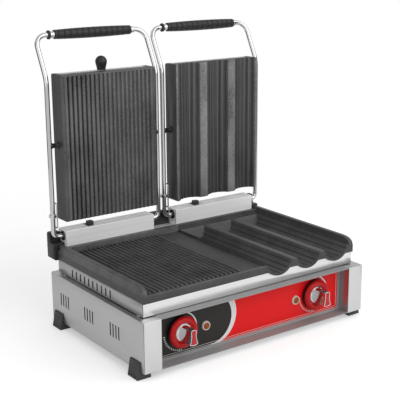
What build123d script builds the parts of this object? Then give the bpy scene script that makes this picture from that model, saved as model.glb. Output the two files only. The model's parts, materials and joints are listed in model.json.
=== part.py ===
"""Countertop double contact grill: a ribbed pair of plates on the left, a three-trough wrap pair on the right.

Rest pose: both lids stand open. X runs to the right, Y to the back, Z up. Millimetres.
The origin is on the worktop, under the middle of the whole object.
"""
from build123d import *
import os
from math import asin, cos, degrees, radians, sin, sqrt, tan

os.makedirs("parts", exist_ok=True)

# Housing
housing_width = 540.0
housing_depth = 353.0
housing_height = 98.0
sheet = 1.2
post_width = 38.0
fold_radius = 2.0
panel_recess = 26.0
fit_gap = 0.3
foot_height = 15.0
foot_flare = 8.0
foot_length = 34.0
foot_climb = 18.5
foot_reach_under = 22.0
foot_inset = 13.0
foot_thickness = 4.0
side_slot_width = 4.0
side_slot_height = 26.5
side_slot_pitch = 10.2
side_slot_count = 4
side_group_pitch = housing_depth - 255.5
side_slot_middle = 50.0
vent_middle = housing_depth - 153.0

# Plate tray
tray_inset_side = 12.2
tray_inset_front = 21.0
tray_inset_back = 10.5
tray_lift = 1.6
tray_height = 25.4
tray_slot_width = 4.4
tray_slot_height = 16.0
tray_slot_pitch = 16.4
tray_slot_count = 10
tray_vent_middle = housing_depth - 144.0

# Lower plates
plate_overhang = 3.0
plate_floor = 12.0
rib_height = 4.0
rib_width = 4.6
rib_crest = 2.2
rib_pitch = 10.2
rib_count = round((housing_width / 2 - 55.8) / rib_pitch)
rib_front_gap = 6.0
front_rim = 15.5
front_rim_width = 4.0
side_wall_rise = 31.0
side_wall_width = 10.0
wall_nose_length = 34.0
back_rim_rise = 26.0
back_rim_width = 11.0
back_ledge = 19.0
plate_seam = 0.6
trough_pitch = (housing_width / 2 - 43.5) / 3
trough_half_width = trough_pitch / 2 - 6.25
trough_depth = 23.0
trough_wall = 4.6
trough_rib_count = 7
trough_rib_size = 2.4
trough_end_slope = 40.0
ridge_rise = 17.0

# Lids
lid_centre = housing_width / 4
hinge_setback = housing_depth - 5.0
hinge_lift = 73.0
hinge_height = housing_height + hinge_lift
bar_diameter = 10.0
arm_half_span = lid_centre - 7.6
grip_setback = 42.0
low_bend = 12.0
mid_bend = 60.0
top_bend = 24.0
axle_length = 52.0
upper_half_width = lid_centre - 26.0
upper_face_drop = 27.0
upper_edge_start = 34.7
upper_length = housing_depth - 57.0
arm_rise = upper_edge_start + upper_length - 10.7
grip_rise = arm_rise + 83.0
upper_depth = 42.0
upper_slab = 19.0
upper_side_wall = 8.0
upper_rib_count = round((2 * upper_half_width - 14.0) / rib_pitch)
upper_trough_half_width = trough_half_width - 2.5
upper_trough_depth = 14.5
upper_trough_rib_count = 5
upper_trough_slab = 24.0
cover_gap = 0.5
cover_sheet = 1.0
cover_bend = 3.0
pivot_rise = upper_edge_start + upper_length / 2 + 6.3
pivot_pin_diameter = 8.0
pivot_screw_diameter = 5.0
pivot_spacer_diameter = 14.0
pivot_head_diameter = 9.0
pivot_head_length = 2.0
running_gap = 0.05
knob_ball_diameter = 24.0
knob_neck_diameter = 13.0
knob_ball_rise = 19.0

# Grips
grip_length = 2 * lid_centre - 94.0
grip_offset = 3.0
grip_diameter = 22.0
grip_end_diameter = 18.5
grip_ring_count = 12
grip_groove = 1.0
ferrule_long = 10.0
ferrule_short = 8.0
ferrule_diameter = 14.0
stop_ring_length = 4.0
stop_ring_diameter = 18.0

# Hinge boxes and brackets
box_half_length = lid_centre - 29.0
box_depth = 34.0
box_height = 35.2
box_setback = housing_depth - 19.6
box_floor_height = hinge_height - 22.4
box_sheet = 1.5
box_slot_length = 14.0
box_slot_width = 24.0
bush_length = 8.0
bush_diameter = 16.0
bush_flange = 1.5
bush_flange_diameter = 20.0
rail_thickness = 3.0
bracket_depth = 30.0
bracket_drop = 23.0
bracket_back_wall = 13.0
bracket_top = hinge_height + 7.0
bracket_seat = hinge_height - 13.0
bracket_overlap = 14.0
bolt_diameter = 6.0
bolt_head_diameter = 10.0
bolt_head_height = 4.0
bolt_length = 16.0
spring_wire = 3.0
spring_radius = 9.5
spring_turns = 6
spring_pitch = 4.2
stay_length = 52.0
stay_width = 11.0
stay_wire = 3.0
stay_eye_length = 6.0

# Heating elements
heater_diameter = 8.0
heater_half_span = housing_width / 4 - 47.0
heater_bend = 14.0
heater_margin = 40.0
heater_gap = 0.2
lead_pitch = 60.0
lead_hole_diameter = 14.0
lead_drop = 28.0

# Control panel
label_half_length = housing_width / 2 - 47.0
label_bottom = 7.0
label_height = 85.0
label_thickness = 0.6
label_corner = 1.5
control_height = 52.5
left_control_x = 97.0 - housing_width / 2
right_control_x = housing_width / 2 - 113.0
left_lamp_x = left_control_x + 56.5
right_lamp_x = right_control_x - 49.5
lamp_height = 49.5
skirt_diameter = 64.0
skirt_depth = 14.0
skirt_gap = 1.0
skirt_recess_diameter = 45.0
skirt_recess_depth = 9.0
knob_reach = 43.0
knob_bar_height = 31.0
knob_bar_waist = 12.0
knob_bar_flare = 19.0
knob_insert_depth = 1.5
knob_insert_margin = 1.6
shaft_diameter = 6.0
shaft_hole_diameter = 10.0
lamp_bezel_diameter = 19.0
lamp_bezel_height = 4.0
lamp_lens_diameter = 13.5
lamp_lens_dome = 2.4
lamp_body_diameter = 11.0
lamp_body_length = 26.0
thermostat_width = 36.0
thermostat_depth = 22.0

# Inside the housing and at its back
block_length = 60.0
block_width = 22.0
block_height = 20.0
gland_diameter = 18.0
gland_bore = 8.0
gland_length = 22.0
gland_x = 80.0 - housing_width / 2
gland_z = 45.0

# Places worked out from the sizes above
bar_radius = bar_diameter / 2
half_width = housing_width / 2
back_reach = hinge_setback + grip_setback + grip_diameter / 2
front_reach = knob_reach - panel_recess
front_y = -(back_reach - front_reach) / 2
back_y = front_y + housing_depth
base_z = foot_height
deck_z = base_z + housing_height
web_y = front_y + panel_recess
tray_x = half_width - tray_inset_side
tray_front = front_y + tray_inset_front
tray_back = back_y - tray_inset_back
tray_z = deck_z + tray_lift
plate_z = tray_z + tray_height
plate_front = tray_front - plate_overhang
plate_back = tray_back - sheet
hinge_y = front_y + hinge_setback
hinge_z = base_z + hinge_height
face_y = hinge_y - upper_face_drop
upper_low = hinge_z + upper_edge_start
upper_high = upper_low + upper_length
pivot_z = hinge_z + pivot_rise
grip_y = hinge_y + grip_setback
grip_z = hinge_z + grip_rise
box_front = front_y + box_setback
box_back = box_front + box_depth
box_low = base_z + box_floor_height
box_high = box_low + box_height
bolt_y = box_front + 21.0
rib_crest_z = plate_z + plate_floor + rib_height
ridge_z = plate_z + ridge_rise
lead_y = front_y + heater_margin
back_rim_front = box_front - fit_gap - back_rim_width
trough_left_edge = lid_centre - trough_pitch - trough_half_width
plate_bottom_z = plate_z


def save(piece, node):
    """Name a finished piece and write its file."""
    piece.part.label = node
    export_step(piece.part, f"parts/{node}.step")
    return piece.part


def arc_radius(half_chord, depth):
    """Radius of the arc that spans a chord and is so deep at its middle."""
    return (half_chord**2 + depth**2) / (2 * depth)


# Housing: one folded side for each hand, with its post, flanges and vents
for side, hand in ((-1, "left"), (1, "right")):
    outer_x = side * half_width
    inner_x = side * (half_width - post_width)
    with BuildPart() as side_panel:
        with BuildSketch(Plane.XY.offset(base_z)) as footprint:
            with Locations(((outer_x + inner_x) / 2, front_y + housing_depth / 2)):
                Rectangle(post_width, housing_depth)
            outer_corners = footprint.vertices().group_by(Axis.X)[0 if side < 0 else -1]
            fillet(outer_corners, fold_radius)
        extrude(amount=housing_height)
        with BuildSketch(Plane.XY.offset(base_z + sheet)):
            with Locations(((outer_x + inner_x) / 2 - side * sheet / 2, front_y + housing_depth / 2)):
                Rectangle(post_width - sheet, housing_depth - 2 * sheet)
        extrude(amount=housing_height - 2 * sheet, mode=Mode.SUBTRACT)
        with BuildSketch(Plane.XY.offset(base_z)):
            with Locations((inner_x + side * sheet / 2, front_y + panel_recess / 2 + sheet)):
                Rectangle(sheet, panel_recess + 2 * sheet)
        extrude(amount=housing_height)
        with BuildSketch(Plane.YZ.offset(outer_x - side * 2 * sheet)):
            for group in (-1, 0, 1):
                group_y = front_y + vent_middle + group * side_group_pitch
                with Locations((group_y, base_z + side_slot_middle)):
                    with GridLocations(side_slot_pitch, 1, side_slot_count, 1):
                        Rectangle(side_slot_width, side_slot_height)
        extrude(amount=side * 4 * sheet, mode=Mode.SUBTRACT)
    save(side_panel, f"{hand}_side_panel")

# The recessed channel between the posts, holed for the two controls and the two lamps
channel_half = half_width - post_width
lining_half = half_width - sheet - fit_gap
lining_front = web_y + 2 * sheet + fit_gap
lining_back = back_y - 2 * sheet
with BuildPart() as control_panel:
    with BuildSketch(Plane.YZ.offset(-channel_half)):
        with Locations((front_y + (panel_recess + sheet) / 2, base_z + housing_height / 2)):
            Rectangle(panel_recess + sheet, housing_height)
        with Locations((front_y + panel_recess / 2, base_z + housing_height / 2)):
            Rectangle(panel_recess, housing_height - 2 * sheet, mode=Mode.SUBTRACT)
    extrude(amount=2 * channel_half)
    with BuildSketch(Plane.XZ.offset(-web_y)):
        with Locations((left_control_x, base_z + control_height), (right_control_x, base_z + control_height)):
            Circle(shaft_hole_diameter / 2)
        with Locations((left_lamp_x, base_z + lamp_height), (right_lamp_x, base_z + lamp_height)):
            Circle(lamp_body_diameter / 2 + fit_gap)
    extrude(amount=-2 * sheet, both=True, mode=Mode.SUBTRACT)
save(control_panel, "control_panel")

with BuildPart() as panel_label:
    with BuildSketch(Plane.XZ.offset(-web_y)):
        with Locations((0, base_z + label_bottom + label_height / 2)):
            RectangleRounded(2 * label_half_length, label_height, label_corner)
        with Locations((left_control_x, base_z + control_height), (right_control_x, base_z + control_height)):
            Circle(shaft_hole_diameter / 2, mode=Mode.SUBTRACT)
        with Locations((left_lamp_x, base_z + lamp_height), (right_lamp_x, base_z + lamp_height)):
            Circle(lamp_body_diameter / 2 + fit_gap, mode=Mode.SUBTRACT)
    extrude(amount=label_thickness)
save(panel_label, "panel_label")

with BuildPart() as base_plate:
    with BuildSketch(Plane.XY.offset(base_z + sheet)):
        with Locations((0, (lining_front + lining_back) / 2)):
            Rectangle(2 * lining_half, lining_back - lining_front)
        with Locations((0, front_y + vent_middle)):
            with GridLocations(3 * side_slot_pitch, 1, 9, 1):
                Rectangle(side_slot_width, 2 * side_slot_height, mode=Mode.SUBTRACT)
    extrude(amount=sheet)
save(base_plate, "base_plate")

# The deck closes the housing under the tray and lets the heater leads through
lead_xs = [side * lid_centre + k * lead_pitch / 2 for side in (-1, 1) for k in (-1, 1)]
with BuildPart() as deck_plate:
    with BuildSketch(Plane.XY.offset(deck_z - 2 * sheet)):
        with Locations((0, (lining_front + lining_back) / 2)):
            Rectangle(2 * lining_half, lining_back - lining_front)
        with Locations([(x, lead_y) for x in lead_xs]):
            Circle(lead_hole_diameter / 2, mode=Mode.SUBTRACT)
    extrude(amount=sheet)
save(deck_plate, "deck_plate")

with BuildPart() as back_panel:
    with BuildSketch(Plane.XZ.offset(-back_y + sheet)):
        with Locations((0, base_z + housing_height / 2)):
            Rectangle(2 * lining_half, housing_height - 4 * sheet)
        with Locations((gland_x, base_z + gland_z)):
            Circle(gland_diameter / 2 - 3, mode=Mode.SUBTRACT)
        with Locations((0, base_z + side_slot_middle)):
            with GridLocations(side_slot_pitch, 1, 12, 1):
                Rectangle(side_slot_width, side_slot_height, mode=Mode.SUBTRACT)
    extrude(amount=sheet)
save(back_panel, "back_panel")

# Feet: a ribbed wedge on the side panel that turns in under its corner
for end, y0 in (("front", front_y + foot_inset), ("rear", back_y - foot_inset + sheet - foot_length)):
    for side, hand in ((-1, "left"), (1, "right")):
        x_wall = side * half_width
        with BuildPart() as foot:
            with BuildSketch(Plane.XZ.offset(-y0 - foot_length)):
                with BuildLine():
                    Polyline(
                        (x_wall, base_z),
                        (x_wall, base_z + foot_climb),
                        (x_wall + side * foot_thickness / 2, base_z + foot_climb),
                        (x_wall + side * foot_flare, 0),
                        (x_wall - side * foot_reach_under, 0),
                        (x_wall - side * foot_reach_under, base_z),
                        close=True,
                    )
                make_face()
            extrude(amount=foot_length)
            with BuildSketch(Plane.XY):
                with Locations((x_wall + side * (foot_flare + 0.4), y0 + foot_length / 2)):
                    with GridLocations(1, foot_length / 5, 1, 4):
                        Rectangle(5.0, 2.6)
            extrude(amount=base_z + foot_climb - 5, mode=Mode.SUBTRACT)
        save(foot, f"{end}_{hand}_foot")

# Tray: the folded casing that carries the lower plates, scalloped for the troughs
trough_radius = arc_radius(trough_half_width, trough_depth)
trough_centre_z = ridge_z - trough_depth + trough_radius
trough_xs = [lid_centre + k * trough_pitch for k in (-1, 0, 1)]
with BuildPart() as plate_tray:
    with BuildSketch(Plane.XY.offset(tray_z)) as tray_plan:
        with Locations((0, (tray_front + tray_back) / 2)):
            Rectangle(2 * tray_x, tray_back - tray_front)
        fillet(tray_plan.vertices(), fold_radius)
    extrude(amount=tray_height)
    with BuildSketch(Plane.XY.offset(tray_z + sheet)):
        with Locations((0, (tray_front + tray_back) / 2)):
            Rectangle(2 * (tray_x - sheet), tray_back - tray_front - 2 * sheet)
    extrude(amount=tray_height, mode=Mode.SUBTRACT)
    with BuildSketch(Plane.XY.offset(tray_z)):
        with Locations([(x, lead_y) for x in lead_xs]):
            Circle(lead_hole_diameter / 2)
    extrude(amount=sheet, mode=Mode.SUBTRACT)
    with BuildSketch(Plane.XZ.offset(-tray_front - 3 * sheet)):
        with Locations([(x, trough_centre_z) for x in trough_xs]):
            Circle(trough_radius + trough_wall + fit_gap)
    extrude(amount=5 * sheet, mode=Mode.SUBTRACT)
    with BuildSketch(Plane.YZ.offset(-half_width)):
        with Locations((front_y + tray_vent_middle, tray_z + tray_height / 2 - 2)):
            with GridLocations(tray_slot_pitch, 1, tray_slot_count, 1):
                Rectangle(tray_slot_width, tray_slot_height)
    extrude(amount=housing_width, mode=Mode.SUBTRACT)
save(plate_tray, "plate_tray")

with BuildPart() as tray_spacers:
    with BuildSketch(Plane.XY.offset(deck_z)):
        with Locations((0, (tray_front + tray_back) / 2)):
            with GridLocations(housing_width - post_width, tray_back - tray_front - post_width, 2, 2):
                Circle(8)
    extrude(amount=tray_lift)
save(tray_spacers, "tray_spacers")

# Lower ribbed plate
grill_left = -tray_x
grill_right = trough_left_edge - plate_seam
rib_start_x = -lid_centre - (rib_count - 1) / 2 * rib_pitch
wall_top = plate_z + side_wall_rise
rim_top = plate_z + front_rim
floor_z = plate_z + plate_floor
ledge_z = plate_z + back_ledge


def side_wall_outline(bottom):
    """A side wall seen from the side: its front end rounds down to the rim."""
    nose = Bezier(
        (plate_front, rim_top),
        (plate_front + 1, rim_top + 0.7 * (wall_top - rim_top)),
        (plate_front + 0.35 * wall_nose_length, wall_top),
        (plate_front + wall_nose_length, wall_top),
    )
    Polyline(
        nose @ 1,
        (back_rim_front + back_rim_width, wall_top),
        (back_rim_front + back_rim_width, bottom),
        (plate_front, bottom),
        nose @ 0,
    )


with BuildPart() as lower_grill_plate:
    with BuildSketch(Plane.YZ.offset(grill_left)):
        with BuildLine():
            Polyline(
                (plate_front, plate_bottom_z),
                (plate_front, rim_top),
                (plate_front + front_rim_width, rim_top),
                (plate_front + front_rim_width + 1.5, floor_z),
                (back_rim_front, floor_z),
                (back_rim_front, plate_z + back_rim_rise),
                (back_rim_front + back_rim_width, plate_z + back_rim_rise),
                (back_rim_front + back_rim_width, ledge_z),
                (plate_back, ledge_z),
                (plate_back, plate_bottom_z),
                close=True,
            )
        make_face()
    extrude(amount=grill_right - grill_left)
    with BuildSketch(Plane.YZ.offset(grill_left)):
        with BuildLine():
            side_wall_outline(plate_bottom_z)
        make_face()
    extrude(amount=side_wall_width)
    top_edges = lower_grill_plate.edges().filter_by(Axis.Y).group_by(Axis.Z)[-1]
    fillet(top_edges, 1.5)
    rib_front = plate_front + front_rim_width + rib_front_gap
    with BuildSketch(Plane.XZ.offset(-back_rim_front)):
        for rib in range(rib_count):
            with BuildLine():
                x_rib = rib_start_x + rib * rib_pitch
                Polyline(
                    (x_rib - rib_width / 2, floor_z),
                    (x_rib - rib_crest / 2, rib_crest_z),
                    (x_rib + rib_crest / 2, rib_crest_z),
                    (x_rib + rib_width / 2, floor_z),
                    close=True,
                )
            make_face()
    extrude(amount=back_rim_front - rib_front)
    rib_ends = lower_grill_plate.edges().filter_by(
        lambda e: abs(e.center().Y - rib_front) < 0.01 and abs(e.center().Z - rib_crest_z) < 0.01
    )
    chamfer(rib_ends, 1.8)
save(lower_grill_plate, "lower_grill_plate")


def ribbed_trough(centre_x, centre_z, radius, half_chord, ribs, rib_size, up):
    """Section of one trough: a circle sector with small ribs that stand in from its wall."""
    reach = asin(half_chord / radius)
    with Locations((centre_x, centre_z)):
        Circle(radius)
    for k in range(ribs):
        turn = reach * 0.86 * (2 * k / (ribs - 1) - 1)
        foot_x = centre_x + radius * sin(turn)
        foot_z = centre_z - up * radius * cos(turn)
        lean = degrees(turn) if up > 0 else 180 - degrees(turn)
        with Locations(Location((foot_x, foot_z), lean)):
            Trapezoid(rib_size * 1.5, rib_size, 65, mode=Mode.SUBTRACT)


# Lower wrap plate: three ribbed troughs, open at the front, with sloping back ends
wrap_left = trough_left_edge
wrap_right = tray_x
trough_back = back_rim_front - 8
wall_inner = wrap_right - side_wall_width
trough_slope = Plane(
    origin=(0, trough_back, ridge_z),
    z_dir=(0, cos(radians(trough_end_slope)), -sin(radians(trough_end_slope))),
)
with BuildPart() as lower_troughs:
    with BuildSketch(Plane.XZ.offset(-plate_front + 1)):
        for x in trough_xs:
            ribbed_trough(x, trough_centre_z, trough_radius, trough_half_width,
                          trough_rib_count, trough_rib_size, 1)
    extrude(amount=-(trough_back - plate_front + 1))
    split(bisect_by=trough_slope, keep=Keep.BOTTOM)
    split(bisect_by=Plane.XY.offset(ridge_z), keep=Keep.BOTTOM)

with BuildPart() as lower_wrap_plate:
    with BuildSketch(Plane.YZ.offset(wrap_left)):
        with BuildLine():
            Polyline(
                (plate_front, plate_bottom_z),
                (plate_front, ridge_z),
                (back_rim_front, ridge_z),
                (back_rim_front, plate_z + back_rim_rise),
                (back_rim_front + back_rim_width, plate_z + back_rim_rise),
                (back_rim_front + back_rim_width, ledge_z),
                (plate_back, ledge_z),
                (plate_back, plate_bottom_z),
                close=True,
            )
        make_face()
    extrude(amount=wrap_right - wrap_left)
    with BuildSketch(Plane.YZ.offset(wall_inner)):
        with BuildLine():
            side_wall_outline(plate_bottom_z)
        make_face()
    extrude(amount=side_wall_width)
    top_edges = lower_wrap_plate.edges().filter_by(Axis.Y).group_by(Axis.Z)[-1]
    fillet(top_edges, 1.5)
    with BuildSketch(Plane.XZ.offset(-plate_front)):
        with Locations([(x, trough_centre_z) for x in trough_xs]):
            Circle(trough_radius + trough_wall)
        with Locations((lid_centre, ridge_z + trough_radius)):
            Rectangle(housing_width, 2 * trough_radius, mode=Mode.SUBTRACT)
        with Locations((wrap_left - trough_radius, ridge_z)):
            Rectangle(2 * trough_radius, 4 * trough_radius, mode=Mode.SUBTRACT)
    extrude(amount=-(trough_back + trough_wall - plate_front))
    add(lower_troughs.part, mode=Mode.SUBTRACT)
save(lower_wrap_plate, "lower_wrap_plate")


def bent_wire(points, radii):
    """Straight runs joined by tangent arcs, with one bend radius for each inner corner."""
    corners = [Vector(*point) for point in points]
    start = corners[0]
    for before, corner, after, radius in zip(corners, corners[1:], corners[2:], radii):
        way_in = (corner - before).normalized()
        way_out = (after - corner).normalized()
        turn = radians(way_in.get_angle(way_out))
        trim = radius * tan(turn / 2)
        inward = (way_out - way_in).normalized()
        middle = corner + inward * (radius / cos(turn / 2) - radius)
        Line(start, corner - way_in * trim)
        ThreePointArc(corner - way_in * trim, middle, corner + way_out * trim)
        start = corner + way_out * trim
    Line(start, corners[-1])


def heater_route(centre_x, low, high, place, lead_ends):
    """A flat double loop of heater tube with both ends turned the same way."""
    near, far = centre_x - lead_pitch / 2, centre_x + lead_pitch / 2
    left, right = centre_x - heater_half_span, centre_x + heater_half_span
    flat = [(near, low), (left, low), (left, high), (near, high), (near, low + lead_pitch),
            (far, low + lead_pitch), (far, high), (right, high), (right, low), (far, low)]
    corners = [place(*point) for point in flat]
    return [lead_ends(near, low)] + corners + [lead_ends(far, low)]


# Lower heaters: one under each plate, their ends turned down into the housing
for side, hand, under in ((-1, "grill", plate_z), (1, "wrap", ridge_z - trough_depth - trough_wall)):
    run_z = under - heater_gap - heater_diameter / 2
    route = heater_route(
        side * lid_centre,
        lead_y,
        back_rim_front - heater_margin,
        lambda x, y: (x, y, run_z),
        lambda x, y: (x, y, run_z - lead_drop),
    )
    with BuildPart() as heater:
        with BuildLine() as tube:
            bent_wire(route, [heater_bend / 2] + [heater_bend] * 8 + [heater_bend / 2])
        with BuildSketch(Plane(origin=tube.line @ 0, z_dir=tube.line % 0)):
            Circle(heater_diameter / 2)
        sweep(path=tube.line)
    save(heater, f"lower_{hand}_heater")

# Hinge boxes: a folded steel box behind each lower plate, its ends bored for the bushes
slot_offset = 61.0 - box_half_length
for side, hand in ((-1, "left"), (1, "right")):
    middle_x = side * lid_centre
    with BuildPart() as hinge_box:
        with BuildSketch(Plane.YZ.offset(middle_x - box_half_length)) as box_section:
            with Locations(((box_front + box_back) / 2, (box_low + box_high) / 2)):
                RectangleRounded(box_depth, box_height, fold_radius)
        extrude(amount=2 * box_half_length)
        with BuildSketch(Plane.YZ.offset(middle_x - box_half_length + box_sheet)):
            with Locations(((box_front + box_back) / 2, (box_low + box_high) / 2)):
                Rectangle(box_depth - 2 * box_sheet, box_height - 2 * box_sheet)
        extrude(amount=2 * (box_half_length - box_sheet), mode=Mode.SUBTRACT)
        with BuildSketch(Plane.YZ.offset(middle_x - box_half_length - 1)):
            with Locations((hinge_y, hinge_z)):
                Circle(bush_diameter / 2)
        extrude(amount=2 * box_half_length + 2, mode=Mode.SUBTRACT)
        with BuildSketch(Plane.XY.offset(box_high - 2 * box_sheet)):
            with Locations((middle_x + slot_offset, box_front + box_depth / 2)):
                Rectangle(box_slot_length, box_slot_width)
        extrude(amount=4 * box_sheet, mode=Mode.SUBTRACT)
        with BuildSketch(Plane.XY.offset(box_low)):
            for end in (-1, 1):
                with Locations((middle_x + end * (box_half_length - bracket_overlap / 2), bolt_y)):
                    Circle(bolt_diameter / 2 + running_gap)
        extrude(amount=box_sheet, mode=Mode.SUBTRACT)
    save(hinge_box, f"{hand}_hinge_box")

with BuildPart() as hinge_bushes:
    for middle_x in (-lid_centre, lid_centre):
        for end in (-1, 1):
            face_x = middle_x + end * box_half_length
            with BuildSketch(Plane.YZ.offset(face_x - end * bush_length)):
                with Locations((hinge_y, hinge_z)):
                    Circle(bush_diameter / 2)
                    Circle(bar_radius + running_gap, mode=Mode.SUBTRACT)
            extrude(amount=end * bush_length)
            with BuildSketch(Plane.YZ.offset(face_x)):
                with Locations((hinge_y, hinge_z)):
                    Circle(bush_flange_diameter / 2)
                    Circle(bar_radius + running_gap, mode=Mode.SUBTRACT)
            extrude(amount=end * bush_flange)
save(hinge_bushes, "hinge_bushes")

rail_low = box_low - rail_thickness
bolt_xs = [side * lid_centre + end * (box_half_length - bracket_overlap / 2) for side in (-1, 1) for end in (-1, 1)]
rail_back = tray_back + bracket_depth - bracket_back_wall - fit_gap
with BuildPart() as hinge_rail:
    with BuildSketch(Plane.XY.offset(rail_low)):
        with Locations((0, (box_front + rail_back) / 2)):
            Rectangle(2 * (lid_centre + box_half_length), rail_back - box_front)
        with Locations([(x, bolt_y) for x in bolt_xs]):
            Circle(bolt_diameter / 2 + running_gap, mode=Mode.SUBTRACT)
    extrude(amount=rail_thickness)
save(hinge_rail, "hinge_rail")

# Brackets: black castings bolted behind the tray, which hold the rail from below
bracket_low = rail_low - bracket_drop
bracket_front = tray_back
bracket_back = bracket_front + bracket_depth
outer_end = half_width - foot_thickness
inner_end = lid_centre + box_half_length
for hand, low_x, high_x, seat_low, seat_high in (
    ("left", -outer_end, -inner_end + bracket_overlap, -outer_end, -inner_end - fit_gap),
    ("centre", -2 * lid_centre + inner_end - bracket_overlap, 2 * lid_centre - inner_end + bracket_overlap,
     -2 * lid_centre + inner_end + 2, 2 * lid_centre - inner_end - 2),
    ("right", inner_end - bracket_overlap, outer_end, inner_end + fit_gap, outer_end),
):
    with BuildPart() as bracket:
        with BuildSketch(Plane.XZ.offset(-bracket_front)) as bracket_face:
            with Locations(((low_x + high_x) / 2, (bracket_low + rail_low) / 2)):
                Rectangle(high_x - low_x, bracket_drop)
            low_corners = bracket_face.vertices().group_by(Axis.Y)[0]
            fillet(low_corners, 5)
        extrude(amount=-bracket_depth)
        with BuildSketch(Plane.XZ.offset(-bracket_back)) as wall_face:
            with Locations(((seat_low + seat_high) / 2, (rail_low + base_z + bracket_top) / 2)):
                Rectangle(seat_high - seat_low, base_z + bracket_top - rail_low)
            high_corners = wall_face.vertices().group_by(Axis.Y)[-1]
            fillet(high_corners, 4)
        extrude(amount=bracket_back_wall)
        if hand != "centre":
            with BuildSketch(Plane.XZ.offset(-bracket_back)):
                with Locations(((seat_low + seat_high) / 2, (rail_low + base_z + bracket_seat) / 2)):
                    Rectangle(seat_high - seat_low, base_z + bracket_seat - rail_low)
            extrude(amount=bracket_depth)
        with BuildSketch(Plane.XY.offset(rail_low)):
            with Locations([(x, bolt_y) for x in bolt_xs if low_x < x < high_x]):
                Circle(bolt_diameter / 2 + running_gap)
        extrude(amount=-bolt_length, mode=Mode.SUBTRACT)
    save(bracket, f"{hand}_hinge_bracket")

with BuildPart() as hinge_bolts:
    for x in bolt_xs:
        with BuildSketch(Plane.XY.offset(box_low + box_sheet)):
            with Locations((x, bolt_y)):
                RegularPolygon(bolt_head_diameter / 2, 6)
        extrude(amount=bolt_head_height)
        with BuildSketch(Plane.XY.offset(box_low + box_sheet)):
            with Locations((x, bolt_y)):
                Circle(bolt_diameter / 2)
        extrude(amount=-(box_sheet + rail_thickness + bolt_length - 1))
save(hinge_bolts, "hinge_bolts")


# Channels of the upper wrap plate, cut from its front face
upper_trough_radius = arc_radius(upper_trough_half_width, upper_trough_depth)
with BuildPart() as upper_troughs:
    with BuildSketch(Plane.XY.offset(upper_low - 1)):
        for x in trough_xs:
            ribbed_trough(x, face_y + upper_trough_depth - upper_trough_radius, upper_trough_radius,
                          upper_trough_half_width, upper_trough_rib_count, trough_rib_size, -1)
    extrude(amount=upper_length + 2)

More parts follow.
